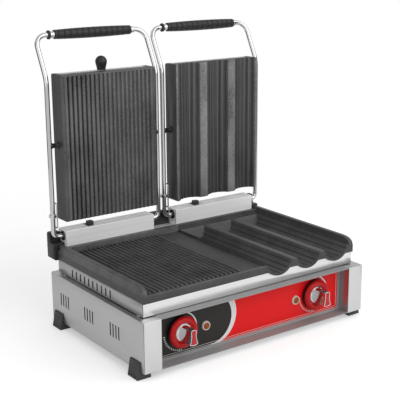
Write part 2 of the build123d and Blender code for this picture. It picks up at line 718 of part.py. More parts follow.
# Lids: a bent steel bar with a grip, a counterbalance spring and a tilting plate between its arms
arm_spread = arm_half_span + bar_radius
for side, hand, kind in ((-1, "left", "grill"), (1, "right", "wrap")):
    middle_x = side * lid_centre
    left_x = middle_x - arm_half_span
    right_x = middle_x + arm_half_span
    arm_top = hinge_z + arm_rise
    with BuildPart() as handle_frame:
        with BuildLine() as bar:
            bent_wire(
                [
                    (left_x + axle_length, hinge_y, hinge_z),
                    (left_x, hinge_y, hinge_z),
                    (left_x, hinge_y, arm_top),
                    (left_x, grip_y, grip_z),
                    (right_x, grip_y, grip_z),
                    (right_x, hinge_y, arm_top),
                    (right_x, hinge_y, hinge_z),
                    (right_x - axle_length, hinge_y, hinge_z),
                ],
                [low_bend, mid_bend, top_bend, top_bend, mid_bend, low_bend],
            )
        with BuildSketch(Plane(origin=bar.line @ 0, z_dir=bar.line % 0)):
            Circle(bar_radius)
        sweep(path=bar.line)
        with BuildSketch(Plane.YZ.offset(middle_x - arm_spread - 1)):
            with Locations((hinge_y, pivot_z)):
                Circle(pivot_screw_diameter / 2 + running_gap)
        extrude(amount=2 * arm_spread + 2, mode=Mode.SUBTRACT)
    save(handle_frame, f"{hand}_handle_frame")

    # Grip parts are turned about the bar's top run
    grip_left = middle_x + grip_offset - grip_length / 2
    bar_bore = bar_radius + running_gap
    with BuildPart() as handle_grip:
        with BuildSketch(Plane.XZ.offset(-grip_y)):
            with BuildLine():
                swell = ThreePointArc(
                    (grip_left, grip_z + grip_end_diameter / 2),
                    (grip_left + grip_length / 2, grip_z + grip_diameter / 2),
                    (grip_left + grip_length, grip_z + grip_end_diameter / 2),
                )
                Polyline(
                    swell @ 1,
                    (grip_left + grip_length, grip_z + bar_bore),
                    (grip_left, grip_z + bar_bore),
                    swell @ 0,
                )
            make_face()
            for k in range(grip_ring_count):
                ring_x = grip_left + grip_length * (k + 1.5) / (grip_ring_count + 2)
                with Locations((ring_x, grip_z + grip_diameter / 2)):
                    Rectangle(3.0, 2 * grip_groove + 1.0, mode=Mode.SUBTRACT)
        revolve(axis=Axis((0, grip_y, grip_z), (1, 0, 0)))
    save(handle_grip, f"{hand}_handle_grip")

    with BuildPart() as grip_ferrules:
        for start, length, outer in (
            (grip_left - ferrule_long, ferrule_long, ferrule_diameter),
            (grip_left + grip_length, ferrule_short, ferrule_diameter),
        ):
            with BuildSketch(Plane.YZ.offset(start)):
                with Locations((grip_y, grip_z)):
                    Circle(outer / 2)
                    Circle(bar_bore, mode=Mode.SUBTRACT)
            extrude(amount=length)
    save(grip_ferrules, f"{hand}_grip_ferrules")

    with BuildPart() as grip_stop:
        with BuildSketch(Plane.YZ.offset(grip_left - ferrule_long - stop_ring_length)):
            with Locations((grip_y, grip_z)):
                Circle(stop_ring_diameter / 2)
                Circle(bar_bore, mode=Mode.SUBTRACT)
        extrude(amount=stop_ring_length)
    save(grip_stop, f"{hand}_grip_stop")

    # The counterbalance spring is wound round the axle inside the hinge box
    coil_start = middle_x - box_half_length + bush_length + spring_wire
    with BuildPart() as balance_spring:
        with BuildLine() as coil:
            Helix(spring_pitch, spring_turns * spring_pitch, spring_radius,
                  center=(coil_start, hinge_y, hinge_z), direction=(1, 0, 0))
        with BuildSketch(Plane(origin=coil.line @ 0, z_dir=coil.line % 0)):
            RegularPolygon(spring_wire / 2, 6)
        sweep(path=coil.line, is_frenet=True)
    save(balance_spring, f"{hand}_balance_spring")

    # A wire loop on the arm guides the heater lead past the hinge
    loop_x = left_x + bar_radius + stay_wire / 2 + 0.5
    loop_low = hinge_z + 19.0
    with BuildPart() as lead_guide:
        with BuildLine() as loop:
            bent_wire(
                [
                    (loop_x, hinge_y - stay_width / 2, loop_low + stay_length / 2),
                    (loop_x, hinge_y - stay_width / 2, loop_low + stay_length),
                    (loop_x, hinge_y + stay_width / 2, loop_low + stay_length),
                    (loop_x, hinge_y + stay_width / 2, loop_low),
                    (loop_x, hinge_y - stay_width / 2, loop_low),
                    (loop_x, hinge_y - stay_width / 2, loop_low + stay_length / 2 - 0.01),
                ],
                [stay_width / 2 - 0.1] * 4,
            )
        with BuildSketch(Plane(origin=loop.line @ 0, z_dir=loop.line % 0)):
            Circle(stay_wire / 2)
        sweep(path=loop.line)
        with BuildSketch(Plane.XY.offset(loop_low + stay_length / 2 - stay_eye_length / 2)):
            with Locations((left_x, hinge_y)):
                Circle(bar_radius + stay_wire)
            with Locations((left_x, hinge_y)):
                Circle(bar_bore, mode=Mode.SUBTRACT)
        extrude(amount=stay_eye_length)
    save(lead_guide, f"{hand}_lead_guide")

    # Pivot screws carry the plate between the arms
    plate_side = upper_half_width
    with BuildPart() as pivot_screws:
        for end in (-1, 1):
            arm_x = arm_half_span
            with BuildSketch(Plane.XY.offset(pivot_z)):
                with BuildLine():
                    Polyline(
                        (middle_x + end * (plate_side - upper_side_wall), hinge_y),
                        (middle_x + end * (plate_side - upper_side_wall), hinge_y + pivot_pin_diameter / 2),
                        (middle_x + end * (plate_side + fit_gap), hinge_y + pivot_pin_diameter / 2),
                        (middle_x + end * (plate_side + fit_gap), hinge_y + pivot_spacer_diameter / 2),
                        (middle_x + end * (arm_x - bar_radius), hinge_y + bar_radius),
                        (middle_x + end * (arm_x - bar_radius), hinge_y + pivot_screw_diameter / 2),
                        (middle_x + end * (arm_x + bar_radius), hinge_y + pivot_screw_diameter / 2),
                        (middle_x + end * (arm_x + bar_radius), hinge_y + pivot_head_diameter / 2),
                        (middle_x + end * (arm_x + bar_radius + pivot_head_length), hinge_y + pivot_head_diameter / 2),
                        (middle_x + end * (arm_x + bar_radius + pivot_head_length), hinge_y),
                        close=True,
                    )
                make_face()
            revolve(axis=Axis((0, hinge_y, pivot_z), (1, 0, 0)))
    save(pivot_screws, f"{hand}_pivot_screws")

    # The cast upper plate: side walls behind a ribbed or three-channelled slab
    plate_left = middle_x - upper_half_width
    plate_right = middle_x + upper_half_width
    slab = upper_slab if kind == "grill" else upper_trough_slab
    with BuildPart() as upper_plate:
        with BuildSketch(Plane.XY.offset(upper_low)):
            if kind == "grill":
                with Locations((middle_x, face_y + (rib_height + slab) / 2)):
                    Rectangle(2 * upper_half_width, slab - rib_height)
                for rib in range(upper_rib_count):
                    rib_x = middle_x + (rib - (upper_rib_count - 1) / 2) * rib_pitch
                    with BuildLine():
                        Polyline(
                            (rib_x - rib_width / 2, face_y + rib_height),
                            (rib_x - rib_crest / 2, face_y),
                            (rib_x + rib_crest / 2, face_y),
                            (rib_x + rib_width / 2, face_y + rib_height),
                            close=True,
                        )
                    make_face()
            else:
                with Locations((middle_x, face_y + slab / 2)):
                    Rectangle(2 * upper_half_width, slab)
        extrude(amount=upper_length)
        if kind == "wrap":
            add(upper_troughs.part, mode=Mode.SUBTRACT)
        for end in (-1, 1):
            wall_x = middle_x + end * (upper_half_width - upper_side_wall / 2)
            with BuildSketch(Plane.YZ.offset(wall_x - upper_side_wall / 2)) as wall_outline:
                with Locations((face_y + upper_depth / 2 + 1, (upper_low + upper_high) / 2)):
                    Rectangle(upper_depth - 2, upper_high - upper_low)
                rear_corners = wall_outline.vertices().group_by(Axis.X)[-1]
                fillet(rear_corners, 5)
            extrude(amount=upper_side_wall)
            with BuildSketch(Plane.YZ.offset(wall_x - upper_side_wall)):
                with Locations((hinge_y, pivot_z)):
                    Circle(pivot_pin_diameter / 2 + running_gap)
            extrude(amount=2 * upper_side_wall, mode=Mode.SUBTRACT)
    save(upper_plate, f"upper_{kind}_plate")

    # The folded cover closes the back of the upper plate between its side walls
    cover_half = upper_half_width - upper_side_wall - cover_gap
    cover_front = face_y + slab
    cover_back = face_y + upper_depth
    with BuildPart() as cover:
        with BuildSketch(Plane.YZ.offset(middle_x - cover_half)) as cover_outline:
            with Locations(((cover_front + cover_back) / 2, (upper_low + upper_high) / 2)):
                Rectangle(cover_back - cover_front, upper_high - upper_low - 2 * cover_gap)
            back_corners = cover_outline.vertices().group_by(Axis.X)[-1]
            fillet(back_corners, cover_bend)
        extrude(amount=2 * cover_half)
        with BuildSketch(Plane.YZ.offset(middle_x - cover_half)) as cover_inside:
            with Locations(((cover_front + cover_back) / 2 - cover_sheet, (upper_low + upper_high) / 2)):
                Rectangle(cover_back - cover_front, upper_high - upper_low - 2 * (cover_gap + cover_sheet))
            inner_corners = cover_inside.vertices().group_by(Axis.X)[-1]
            fillet(inner_corners, cover_bend - cover_sheet)
        extrude(amount=2 * cover_half, mode=Mode.SUBTRACT)
        with BuildSketch(Plane.XZ.offset(-cover_back + 2 * cover_sheet)):
            with Locations((middle_x - lead_pitch / 2, upper_low + heater_margin)):
                Circle(lead_hole_diameter / 2)
            with Locations((middle_x + lead_pitch / 2, upper_low + heater_margin)):
                Circle(lead_hole_diameter / 2)
        extrude(amount=-4 * cover_sheet, mode=Mode.SUBTRACT)
    save(cover, f"upper_{kind}_cover")

    run_y = cover_front + heater_gap + heater_diameter / 2
    route = heater_route(
        middle_x,
        upper_low + heater_margin,
        upper_high - heater_margin,
        lambda x, z: (x, run_y, z),
        lambda x, z: (x, cover_back + 2, z),
    )
    with BuildPart() as heater:
        with BuildLine() as tube:
            bent_wire(route, [heater_bend / 2] + [heater_bend] * 8 + [heater_bend / 2])
        with BuildSketch(Plane(origin=tube.line @ 0, z_dir=tube.line % 0)):
            Circle(heater_diameter / 2)
        sweep(path=tube.line)
    save(heater, f"upper_{kind}_heater")

# The ball knob stands on the left cover's top fold
knob_y = cover_front + (cover_back - cover_front) / 2
knob_foot = upper_high - cover_gap
ball_centre = upper_high + knob_ball_rise - 3
with BuildPart() as ball_knob:
    with BuildSketch(Plane.XZ.offset(-knob_y)):
        with BuildLine():
            neck_half = knob_neck_diameter / 2
            ball_half = knob_ball_diameter / 2
            lift = sqrt(ball_half**2 - (neck_half - 1.5) ** 2)
            Line((-lid_centre, knob_foot), (-lid_centre + neck_half, knob_foot))
            Line((-lid_centre + neck_half, knob_foot), (-lid_centre + neck_half - 1.5, ball_centre - lift))
            ThreePointArc(
                (-lid_centre + neck_half - 1.5, ball_centre - lift),
                (-lid_centre + ball_half, ball_centre),
                (-lid_centre, ball_centre + ball_half),
            )
            Line((-lid_centre, ball_centre + ball_half), (-lid_centre, knob_foot))
        make_face()
    revolve(axis=Axis((-lid_centre, knob_y, 0), (0, 0, 1)))
save(ball_knob, "ball_knob")

# Controls: thermostat body, shaft, red skirt, bright bar and red inlay, one set for each hand
control_z = base_z + control_height
skirt_back = web_y - label_thickness - skirt_gap
skirt_front = skirt_back - skirt_depth
bar_front = front_y - front_reach
recess_floor = skirt_front + skirt_recess_depth


def knob_bar_outline(middle_x):
    """Front outline of the knob's bar: waisted sides, round top, flared foot."""
    foot_z = control_z - knob_bar_height / 2
    top_half = knob_bar_waist / 2 + 0.6
    foot_edge = ThreePointArc(
        (middle_x - knob_bar_flare / 2, foot_z + 2.5),
        (middle_x, foot_z),
        (middle_x + knob_bar_flare / 2, foot_z + 2.5),
    )
    top_edge = ThreePointArc(
        (middle_x + top_half, foot_z + knob_bar_height - 3),
        (middle_x, foot_z + knob_bar_height),
        (middle_x - top_half, foot_z + knob_bar_height - 3),
    )
    ThreePointArc(foot_edge @ 1, (middle_x + knob_bar_waist / 2, foot_z + 0.5 * knob_bar_height), top_edge @ 0)
    ThreePointArc(top_edge @ 1, (middle_x - knob_bar_waist / 2, foot_z + 0.5 * knob_bar_height), foot_edge @ 0)


for hand, control_x in (("left", left_control_x), ("right", right_control_x)):
    with BuildPart() as thermostat:
        with BuildSketch(Plane.XZ.offset(-web_y - sheet)):
            with Locations((control_x, control_z)):
                RectangleRounded(thermostat_width, thermostat_width, 3)
        extrude(amount=-thermostat_depth)
        with BuildSketch(Plane.XZ.offset(-web_y - sheet)):
            with Locations((control_x, control_z)):
                Circle(shaft_hole_diameter / 2 - fit_gap)
        extrude(amount=sheet + label_thickness)
        with BuildSketch(Plane.XZ.offset(-web_y + 2)):
            with Locations((control_x, control_z)):
                Circle(shaft_diameter / 2 + running_gap)
        extrude(amount=-(sheet + 2 + thermostat_depth / 2), mode=Mode.SUBTRACT)
    save(thermostat, f"{hand}_thermostat")

    with BuildPart() as shaft:
        with BuildSketch(Plane.XZ.offset(-web_y - sheet - thermostat_depth / 2 + 1)):
            with Locations((control_x, control_z)):
                Circle(shaft_diameter / 2)
        extrude(amount=sheet + thermostat_depth / 2 - 1 + web_y - recess_floor + 12)
    save(shaft, f"{hand}_control_shaft")

    with BuildPart() as skirt:
        with BuildSketch(Plane.XY.offset(control_z)):
            with BuildLine():
                outer_r = skirt_diameter / 2
                inner_r = skirt_recess_diameter / 2
                Polyline(
                    (control_x + inner_r, skirt_front + 1.0),
                    (control_x + inner_r - 2.0, recess_floor),
                    (control_x + shaft_diameter / 2 + running_gap, recess_floor),
                    (control_x + shaft_diameter / 2 + running_gap, skirt_back),
                    (control_x + outer_r, skirt_back),
                    (control_x + outer_r - 0.8, skirt_front + 4.0),
                )
                ThreePointArc(
                    (control_x + outer_r - 0.8, skirt_front + 4.0),
                    (control_x + outer_r - 4.0, skirt_front),
                    (control_x + inner_r, skirt_front + 1.0),
                )
            make_face()
        revolve(axis=Axis((control_x, 0, control_z), (0, 1, 0)))
    save(skirt, f"{hand}_knob_skirt")

    with BuildPart() as knob_bar:
        with BuildSketch(Plane.XZ.offset(-recess_floor)):
            with BuildLine():
                knob_bar_outline(control_x)
            make_face()
        extrude(amount=recess_floor - bar_front)
        with BuildSketch(Plane.XZ.offset(-recess_floor)):
            with Locations((control_x, control_z)):
                Circle(shaft_diameter / 2 + running_gap)
        extrude(amount=12, mode=Mode.SUBTRACT)
        with BuildSketch(Plane.XZ.offset(-bar_front)):
            with BuildLine():
                knob_bar_outline(control_x)
            make_face()
            offset(amount=-knob_insert_margin, mode=Mode.REPLACE)
        extrude(amount=-knob_insert_depth, mode=Mode.SUBTRACT)
    save(knob_bar, f"{hand}_knob_bar")

    with BuildPart() as knob_inlay:
        with BuildSketch(Plane.XZ.offset(-bar_front - knob_insert_depth)):
            with BuildLine():
                knob_bar_outline(control_x)
            make_face()
            offset(amount=-knob_insert_margin - running_gap, mode=Mode.REPLACE)
        extrude(amount=knob_insert_depth)
    save(knob_inlay, f"{hand}_knob_inlay")

# Indicator lamps
lamp_z = base_z + lamp_height
lamp_front = web_y - label_thickness
with BuildPart() as lamp_bezels:
    for lamp_x in (left_lamp_x, right_lamp_x):
        with BuildSketch(Plane.XY.offset(lamp_z)):
            with BuildLine():
                Polyline(
                    (lamp_x + lamp_lens_diameter / 2 + running_gap, lamp_front - lamp_bezel_height),
                    (lamp_x + lamp_lens_diameter / 2 + running_gap, lamp_front - 1),
                    (lamp_x + lamp_body_diameter / 2 - 2, lamp_front - 1),
                    (lamp_x + lamp_body_diameter / 2 - 2, lamp_front + lamp_body_length),
                    (lamp_x + lamp_body_diameter / 2, lamp_front + lamp_body_length),
                    (lamp_x + lamp_body_diameter / 2, lamp_front),
                    (lamp_x + lamp_bezel_diameter / 2, lamp_front),
                    (lamp_x + lamp_bezel_diameter / 2 - 1, lamp_front - lamp_bezel_height),
                    close=True,
                )
            make_face()
        revolve(axis=Axis((lamp_x, 0, lamp_z), (0, 1, 0)))
save(lamp_bezels, "lamp_bezels")

dome_radius = arc_radius(lamp_lens_diameter / 2, lamp_lens_dome)
dome_turn = asin(lamp_lens_diameter / 2 / dome_radius) / 2
dome_tip = lamp_front - lamp_bezel_height - lamp_lens_dome
with BuildPart() as lamp_lenses:
    for lamp_x in (left_lamp_x, right_lamp_x):
        with BuildSketch(Plane.XY.offset(lamp_z)):
            with BuildLine():
                Line((lamp_x, lamp_front - 1), (lamp_x + lamp_lens_diameter / 2, lamp_front - 1))
                Line((lamp_x + lamp_lens_diameter / 2, lamp_front - 1),
                     (lamp_x + lamp_lens_diameter / 2, lamp_front - lamp_bezel_height))
                ThreePointArc(
                    (lamp_x + lamp_lens_diameter / 2, lamp_front - lamp_bezel_height),
                    (lamp_x + dome_radius * sin(dome_turn), dome_tip + dome_radius * (1 - cos(dome_turn))),
                    (lamp_x, dome_tip),
                )
                Line((lamp_x, dome_tip), (lamp_x, lamp_front - 1))
            make_face()
        revolve(axis=Axis((lamp_x, 0, lamp_z), (0, 1, 0)))
save(lamp_lenses, "lamp_lenses")

# The supply comes in through a gland at the back and ends at a terminal block
gland_z_place = base_z + gland_z
gland_front = back_y - 2 * sheet
with BuildPart() as cable_gland:
    with BuildSketch(Plane.XZ.offset(-back_y + sheet)):
        with Locations((gland_x, gland_z_place)):
            RegularPolygon(gland_diameter / 2, 6)
    extrude(amount=-5)
    with BuildSketch(Plane.XZ.offset(-back_y - 3)):
        with Locations((gland_x, gland_z_place)):
            Circle(gland_diameter / 2 - 2)
    extrude(amount=-5, taper=12)
    with BuildSketch(Plane.XZ.offset(-back_y + sheet)):
        with Locations((gland_x, gland_z_place)):
            Circle(gland_diameter / 2 - 3 - running_gap)
    extrude(amount=sheet + 6)
    with BuildSketch(Plane.XZ.offset(-back_y - 20)):
        with Locations((gland_x, gland_z_place)):
            Circle(gland_bore / 2)
    extrude(amount=40, mode=Mode.SUBTRACT)
save(cable_gland, "cable_gland")

with BuildPart() as terminal_block:
    with BuildSketch(Plane.XY.offset(base_z + 2 * sheet)):
        with Locations((gland_x, lining_back - 40)):
            Rectangle(block_length, block_width)
    extrude(amount=block_height)
    chamfer(terminal_block.edges().filter_by(Axis.X).group_by(Axis.Z)[-1], 3)
    with BuildSketch(Plane.XY.offset(base_z + 2 * sheet + block_height)):
        with Locations((gland_x, lining_back - 40)):
            with GridLocations(block_length / 3, block_width / 2, 3, 2):
                Circle(2.5)
    extrude(amount=-8, mode=Mode.SUBTRACT)
save(terminal_block, "terminal_block")
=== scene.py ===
# %% [markdown]
# # A wrap toaster, dressed for its photograph
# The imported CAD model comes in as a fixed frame: every piece has its true place and size already.
# This script gives each piece its finish and remakes the ones whose CAD mesh is too coarse or too
# plain for a close look. All lengths are in metres.

# %% Load the frame
import json
import math

import bmesh
import bpy
import numpy as np
from mathutils import Matrix, Vector

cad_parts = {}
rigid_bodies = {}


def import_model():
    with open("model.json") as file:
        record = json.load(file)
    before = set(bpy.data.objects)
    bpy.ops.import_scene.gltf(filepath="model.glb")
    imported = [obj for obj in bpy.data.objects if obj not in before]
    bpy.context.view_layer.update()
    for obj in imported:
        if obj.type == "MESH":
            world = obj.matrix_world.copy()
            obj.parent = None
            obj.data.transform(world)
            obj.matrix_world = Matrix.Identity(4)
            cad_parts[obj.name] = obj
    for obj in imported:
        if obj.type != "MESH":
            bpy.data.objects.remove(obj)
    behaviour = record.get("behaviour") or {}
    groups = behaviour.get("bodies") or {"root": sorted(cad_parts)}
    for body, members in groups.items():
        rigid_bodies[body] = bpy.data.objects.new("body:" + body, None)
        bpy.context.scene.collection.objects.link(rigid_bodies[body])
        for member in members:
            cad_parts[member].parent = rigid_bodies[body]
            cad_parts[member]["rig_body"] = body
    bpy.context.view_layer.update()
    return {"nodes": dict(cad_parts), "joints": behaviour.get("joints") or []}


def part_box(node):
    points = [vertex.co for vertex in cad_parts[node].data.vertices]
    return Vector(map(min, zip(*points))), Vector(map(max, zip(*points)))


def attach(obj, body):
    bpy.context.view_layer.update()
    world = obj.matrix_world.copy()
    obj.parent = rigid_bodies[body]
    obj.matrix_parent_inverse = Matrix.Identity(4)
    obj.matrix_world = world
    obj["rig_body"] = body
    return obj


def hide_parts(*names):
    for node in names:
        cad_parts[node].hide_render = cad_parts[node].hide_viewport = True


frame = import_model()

MM = 0.001
HANDS = ("left", "right")
joints = {joint["name"]: Vector(joint["pos_m"]) for joint in frame["joints"]}
body_of_node = {node: shown["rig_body"] for node, shown in frame["nodes"].items()}
print("nodes:", len(frame["nodes"]), "joints:", sorted(joints))

# %% [markdown]
# ## Shader maths as Python
# A material here is a formula. One small class wraps a node's output socket, so that `a * b + 0.2`
# adds the Math nodes by itself, and `node()` adds any other node with its settings and inputs.

# %% A socket that can be calculated with
class Sock:
    """An output socket of a material, with Python's operators writing its Math nodes."""

    def __init__(self, tree, socket):
        self.tree, self.socket = tree, socket

    def node(self, kind, settings=None, out=0, **inputs):
        """Any node: its settings first, then its inputs, by name or, as in0, in1, ..., by number."""
        made = self.tree.nodes.new(kind)
        for key, value in (settings or {}).items():
            setattr(made, key, value)
        for key, value in inputs.items():
            numbered = key.startswith("in") and key[2:].isdigit()
            target = made.inputs[int(key[2:]) if numbered else key.replace("_", " ")]
            if isinstance(value, Sock):
                self.tree.links.new(value.socket, target)
            else:
                target.default_value = value
        return Sock(self.tree, made.outputs[out])

    def math(self, operation, other=None):
        inputs = {"in0": self}
        if other is not None:
            inputs["in1"] = other
        return self.node("ShaderNodeMath", {"operation": operation}, **inputs)

    def __add__(self, other):
        return self.math("ADD", other)

    __radd__ = __add__

    def __mul__(self, other):
        return self.math("MULTIPLY", other)

    __rmul__ = __mul__

    def __sub__(self, other):
        return self.math("SUBTRACT", other)

    def __rsub__(self, other):
        return self.node("ShaderNodeMath", {"operation": "SUBTRACT"}, in0=other, in1=self)

    def __truediv__(self, other):
        return self.math("DIVIDE", other)

    def __gt__(self, other):
        return self.math("GREATER_THAN", other)

    def __lt__(self, other):
        return self.math("LESS_THAN", other)

    def root(self):
        return self.math("SQRT")

    def clamp(self):
        return self.node("ShaderNodeClamp", in0=self)

    def between(self, low, high):
        """0 below low, 1 above high, and a straight slope from one to the other."""
        return ((self - low) / (high - low)).clamp()


class Finish:
    """A material in the making: its Principled shader, its coordinates and its noises."""

    def __init__(self, name, color, roughness, metallic=0.0, **constants):
        self.material = bpy.data.materials.new(name)
        self.material.use_nodes = True
        self.tree = self.material.node_tree
        self.shader = self.tree.nodes["Principled BSDF"]
        self.set("Base Color", (*color, 1.0))
        self.set("Roughness", roughness)
        self.set("Metallic", metallic)
        for key, value in constants.items():
            self.set(key.replace("_", " "), value)
        self.start = Sock(self.tree, None)
        self.place = self.start.node("ShaderNodeTexCoord", out="Object")
        apart = self.start.node("ShaderNodeSeparateXYZ", in0=self.place)
        outputs = apart.socket.node.outputs
        self.x, self.y, self.z = (Sock(self.tree, outputs[k]) for k in range(3))

    def set(self, socket, value):
        if isinstance(value, Sock):
            self.tree.links.new(value.socket, self.shader.inputs[socket])
        else:
            self.shader.inputs[socket].default_value = value

    def noise(self, scale, stretch=(1, 1, 1), detail=4.0, rough=0.55):
        """Fractal noise from 0 to 1, on Object coordinates that may be stretched along an axis."""
        where = self.start.node("ShaderNodeMapping", in0=self.place, Scale=stretch)
        look = {"Scale": scale, "Detail": detail, "Roughness": rough}
        return self.start.node("ShaderNodeTexNoise", Vector=where, **look)

    def mix(self, factor, first, second):
        """The first colour where factor is 0, the second where it is 1.

        Of a Mix node's sockets, inputs 6 and 7 and output 2 are the ones for colours.
        """
        pick = {"data_type": "RGBA"}
        first = first if isinstance(first, Sock) else (*first, 1.0)
        second = second if isinstance(second, Sock) else (*second, 1.0)
        return self.start.node("ShaderNodeMix", pick, out=2, in0=factor, in6=first, in7=second)

    def bump(self, height, distance, strength=1.0):
        """Relief from a height of 0 to 1 that stands for `distance` metres."""
        relief = self.start.node("ShaderNodeBump", Strength=strength, Distance=distance, Height=height)
        self.set("Normal", relief)


def grey(tone):
    return (tone,) * 3


def within(value, low, high):
    """1 where low < value < high."""
    return (value > low) * (value < high)


print("socket class ready")

# %% [markdown]
# ## Stainless sheet
# The housing, tray and hinge boxes are thin stainless steel with a fine brushed grain. The grain is
# noise stretched nearly a hundredfold along the brushing: it goes into the roughness and a very low
# bump. Where a wall is turned from the light or lies inside, a mask on its place gives it a darker
# tone as painted shade. Where a post faces the light, a lighter one is painted light. A dark line
# along each box's seam is painted shade too. The side panels, the control channel and the steel
# inside are darker copies of the same steel: painted shade.

# %% Brushed stainless
GRAIN_ACROSS, GRAIN_ALONG = 260.0, 3.0
CLOUD_SCALE = 9.0
GRAIN_HEIGHT = 0.04 * MM
# Tones of painted shade on inner faces, the tray's left wall and the box seams, and of painted light on
# the posts' fronts
INNER_SHADE_TONE = 0.02
POST_LIT_TONE = 0.70
TRAY_WALL_SHADE_TONE = 0.42
SEAM_SHADE_TONE = 0.10
POST_SKIN, TRAY_SKIN = 0.4 * MM, 0.8 * MM
SEAM_FROM, SEAM_TO = 1.6 * MM, 2.6 * MM


def brushed_steel(name, along, tone=0.88, rough=0.34, metal=1.0, zones=None):
    """Stainless sheet brushed along one axis (0, 1 or 2): noise stretched that way.

    `zones` takes the finish and gives a list of (mask, tone) pairs for parts of the surface, where it
    paints light and shade.
    """
    finish = Finish(name, (tone, tone, tone * 0.99), rough, metal)
    stretch = [GRAIN_ACROSS] * 3
    stretch[along] = GRAIN_ALONG
    grain = finish.noise(1.0, stretch, 3.0)
    cloud = finish.noise(CLOUD_SCALE)
    finish.set("Roughness", grain * 0.16 + cloud * 0.10 + (rough - 0.13))
    face = finish.mix(grain.clamp(), grey(tone * 0.90), grey(tone * 1.04))
    # The zones lay painted light and painted shade over the grain as other tones
    for mask, zone_tone in zones(finish) if zones else []:
        face = finish.mix(mask, face, grey(zone_tone))
    finish.set("Base Color", face)
    finish.bump(grain, GRAIN_HEIGHT, 0.35)
    return finish.material


def shaded_inside_of(node, skin=0.3 * MM, rim=2 * MM):
    """Masks the inner faces of a folded sheet piece, which never see the light, and gives them a tone of
    painted shade.

    The mask ends `rim` below the piece's top. With rim=None it takes in the top as well.
    """
    low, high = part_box(node)

    def zones(finish):
        between_sides = within(finish.x, low.x + skin, high.x - skin)
        between_ends = within(finish.y, low.y + skin, high.y - skin)
        inner = between_sides * between_ends
        if rim is not None:
            inner = inner * (finish.z < high.z - rim)
        return [(inner, INNER_SHADE_TONE)]

    return zones


def tray_shaded_faces(finish):
    """Painted shade: the tray's left wall, turned from the light, and its inner faces get darker tones."""
    low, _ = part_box("plate_tray")
    return [(finish.x < low.x + TRAY_SKIN, TRAY_WALL_SHADE_TONE)] + shaded_inside_of("plate_tray", rim=None)(finish)


def box_seam_shade(node):
    """A folded seam along the top of a hinge box, just behind its front edge, painted as a dark line:
    shade in its gap.
    """
    low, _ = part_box(node)
    return lambda finish: [(within(finish.y, low.y + SEAM_FROM, low.y + SEAM_TO), SEAM_SHADE_TONE)]


def side_lit_and_shaded_faces(node):
    """Painted light and shade: a side panel's post is lighter at the front, where it faces the light, and
    its inner faces are darker.
    """
    low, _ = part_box(node)
    return lambda finish: shaded_inside_of(node)(finish) + [(finish.y < low.y + POST_SKIN, POST_LIT_TONE)]


steel_x = brushed_steel("brushed stainless, grain along X", 0)
steel_side_shaded, steel_box = {}, {}
for hand in HANDS:
    faces, seam = side_lit_and_shaded_faces(f"{hand}_side_panel"), box_seam_shade(f"{hand}_hinge_box")
    # The side panels are a darker copy of the stainless as painted shade, with their posts' fronts lighter
    # as painted light
    steel_side_shaded[hand] = brushed_steel(f"brushed stainless, {hand} side", 1, 0.52, 0.36, zones=faces)
    steel_box[hand] = brushed_steel(f"satin stainless, {hand} box", 0, 0.95, 0.45, 0.05, zones=seam)
# The control channel is a darker copy of the stainless: painted shade in its recess
steel_channel_shaded = brushed_steel("brushed stainless of the control channel", 0, 0.36, 0.60, 0.45)
steel_tray = brushed_steel("brushed stainless tray", 0, 0.88, 0.36, zones=tray_shaded_faces)
steel_satin = brushed_steel("satin stainless covers", 0, 0.70, 0.55, 0.35)
# Steel inside is nearly black: painted shade
steel_inside_shaded = brushed_steel("steel inside, painted dark as shade", 0, 0.04, 0.7, 0.0)
print("stainless ready")

# %% [markdown]
# ## Cast plates
# The plates are cast and coated dark. The finish is lighter in patches on whatever stands proud, so
# it knows where the rib crests and ridge flats are: for a lower plate that is its height, for an
# upper one its place along Y. The small ribs in the upper wrap plate's channels are a bump, and
# their tops are lighter too.

# %% Dark cast plate, lighter on its crests
CREST_BELOW_HINGE = 30.0 * MM
GRIT_HEIGHT, CHANNEL_RIB_HEIGHT = 0.15 * MM, 2.2 * MM
CHANNEL_RIB_PERIOD = 9.4 * MM


def cast_plate(name, crest_axis, crest, reach, crest_tone, sign=1.0, base=0.055, rib_period=None):
    """Dark casting. The crest tone grows over `reach` metres up to the crest plane.

    With rib_period, fine ribs h = (1 + sin(2 pi x / period)) / 2 run along the sunk surfaces.
    """
    finish = Finish(name, grey(base), 0.55, 0.25)
    along = (finish.x, finish.y, finish.z)[crest_axis]
    height = (along - crest) * sign
    near_crest = height.between(-reach, -0.1 * reach)
    mottle = finish.noise(20.0, (1, 1, 0.6), 5.0).between(0.30, 0.78)
    grit = finish.noise(900.0, detail=2.0)
    speck = finish.noise(420.0, (1, 1, 0.6), 3.0).between(0.34, 0.66)
    # Lighter in patches near the crests
    lighter_near_crest = near_crest * (mottle * 0.70 + speck * 0.40 - 0.02).clamp()
    ground = finish.mix(mottle * 0.6 + speck * 0.4, grey(base * 0.60), grey(base * 1.75))
    face = finish.mix(lighter_near_crest, ground, grey(crest_tone))
    finish.set("Roughness", mottle * 0.18 + grit * 0.10 + 0.38)
    if rib_period is None:
        finish.bump(grit, GRIT_HEIGHT, 0.5)
    else:
        wave = (finish.x * (2 * math.pi / rib_period)).math("SINE") * 0.5 + 0.5
        ribs = wave * (1 - height.between(-2.2 * reach, -1.2 * reach))
        # The tops of the fine ribs are lighter
        face = finish.mix(ribs.between(0.55, 1.0) * 0.5, face, grey(base * 3.2))
        finish.bump(ribs + grit * 0.08, CHANNEL_RIB_HEIGHT, 0.8)
    finish.set("Base Color", face)
    return finish.material


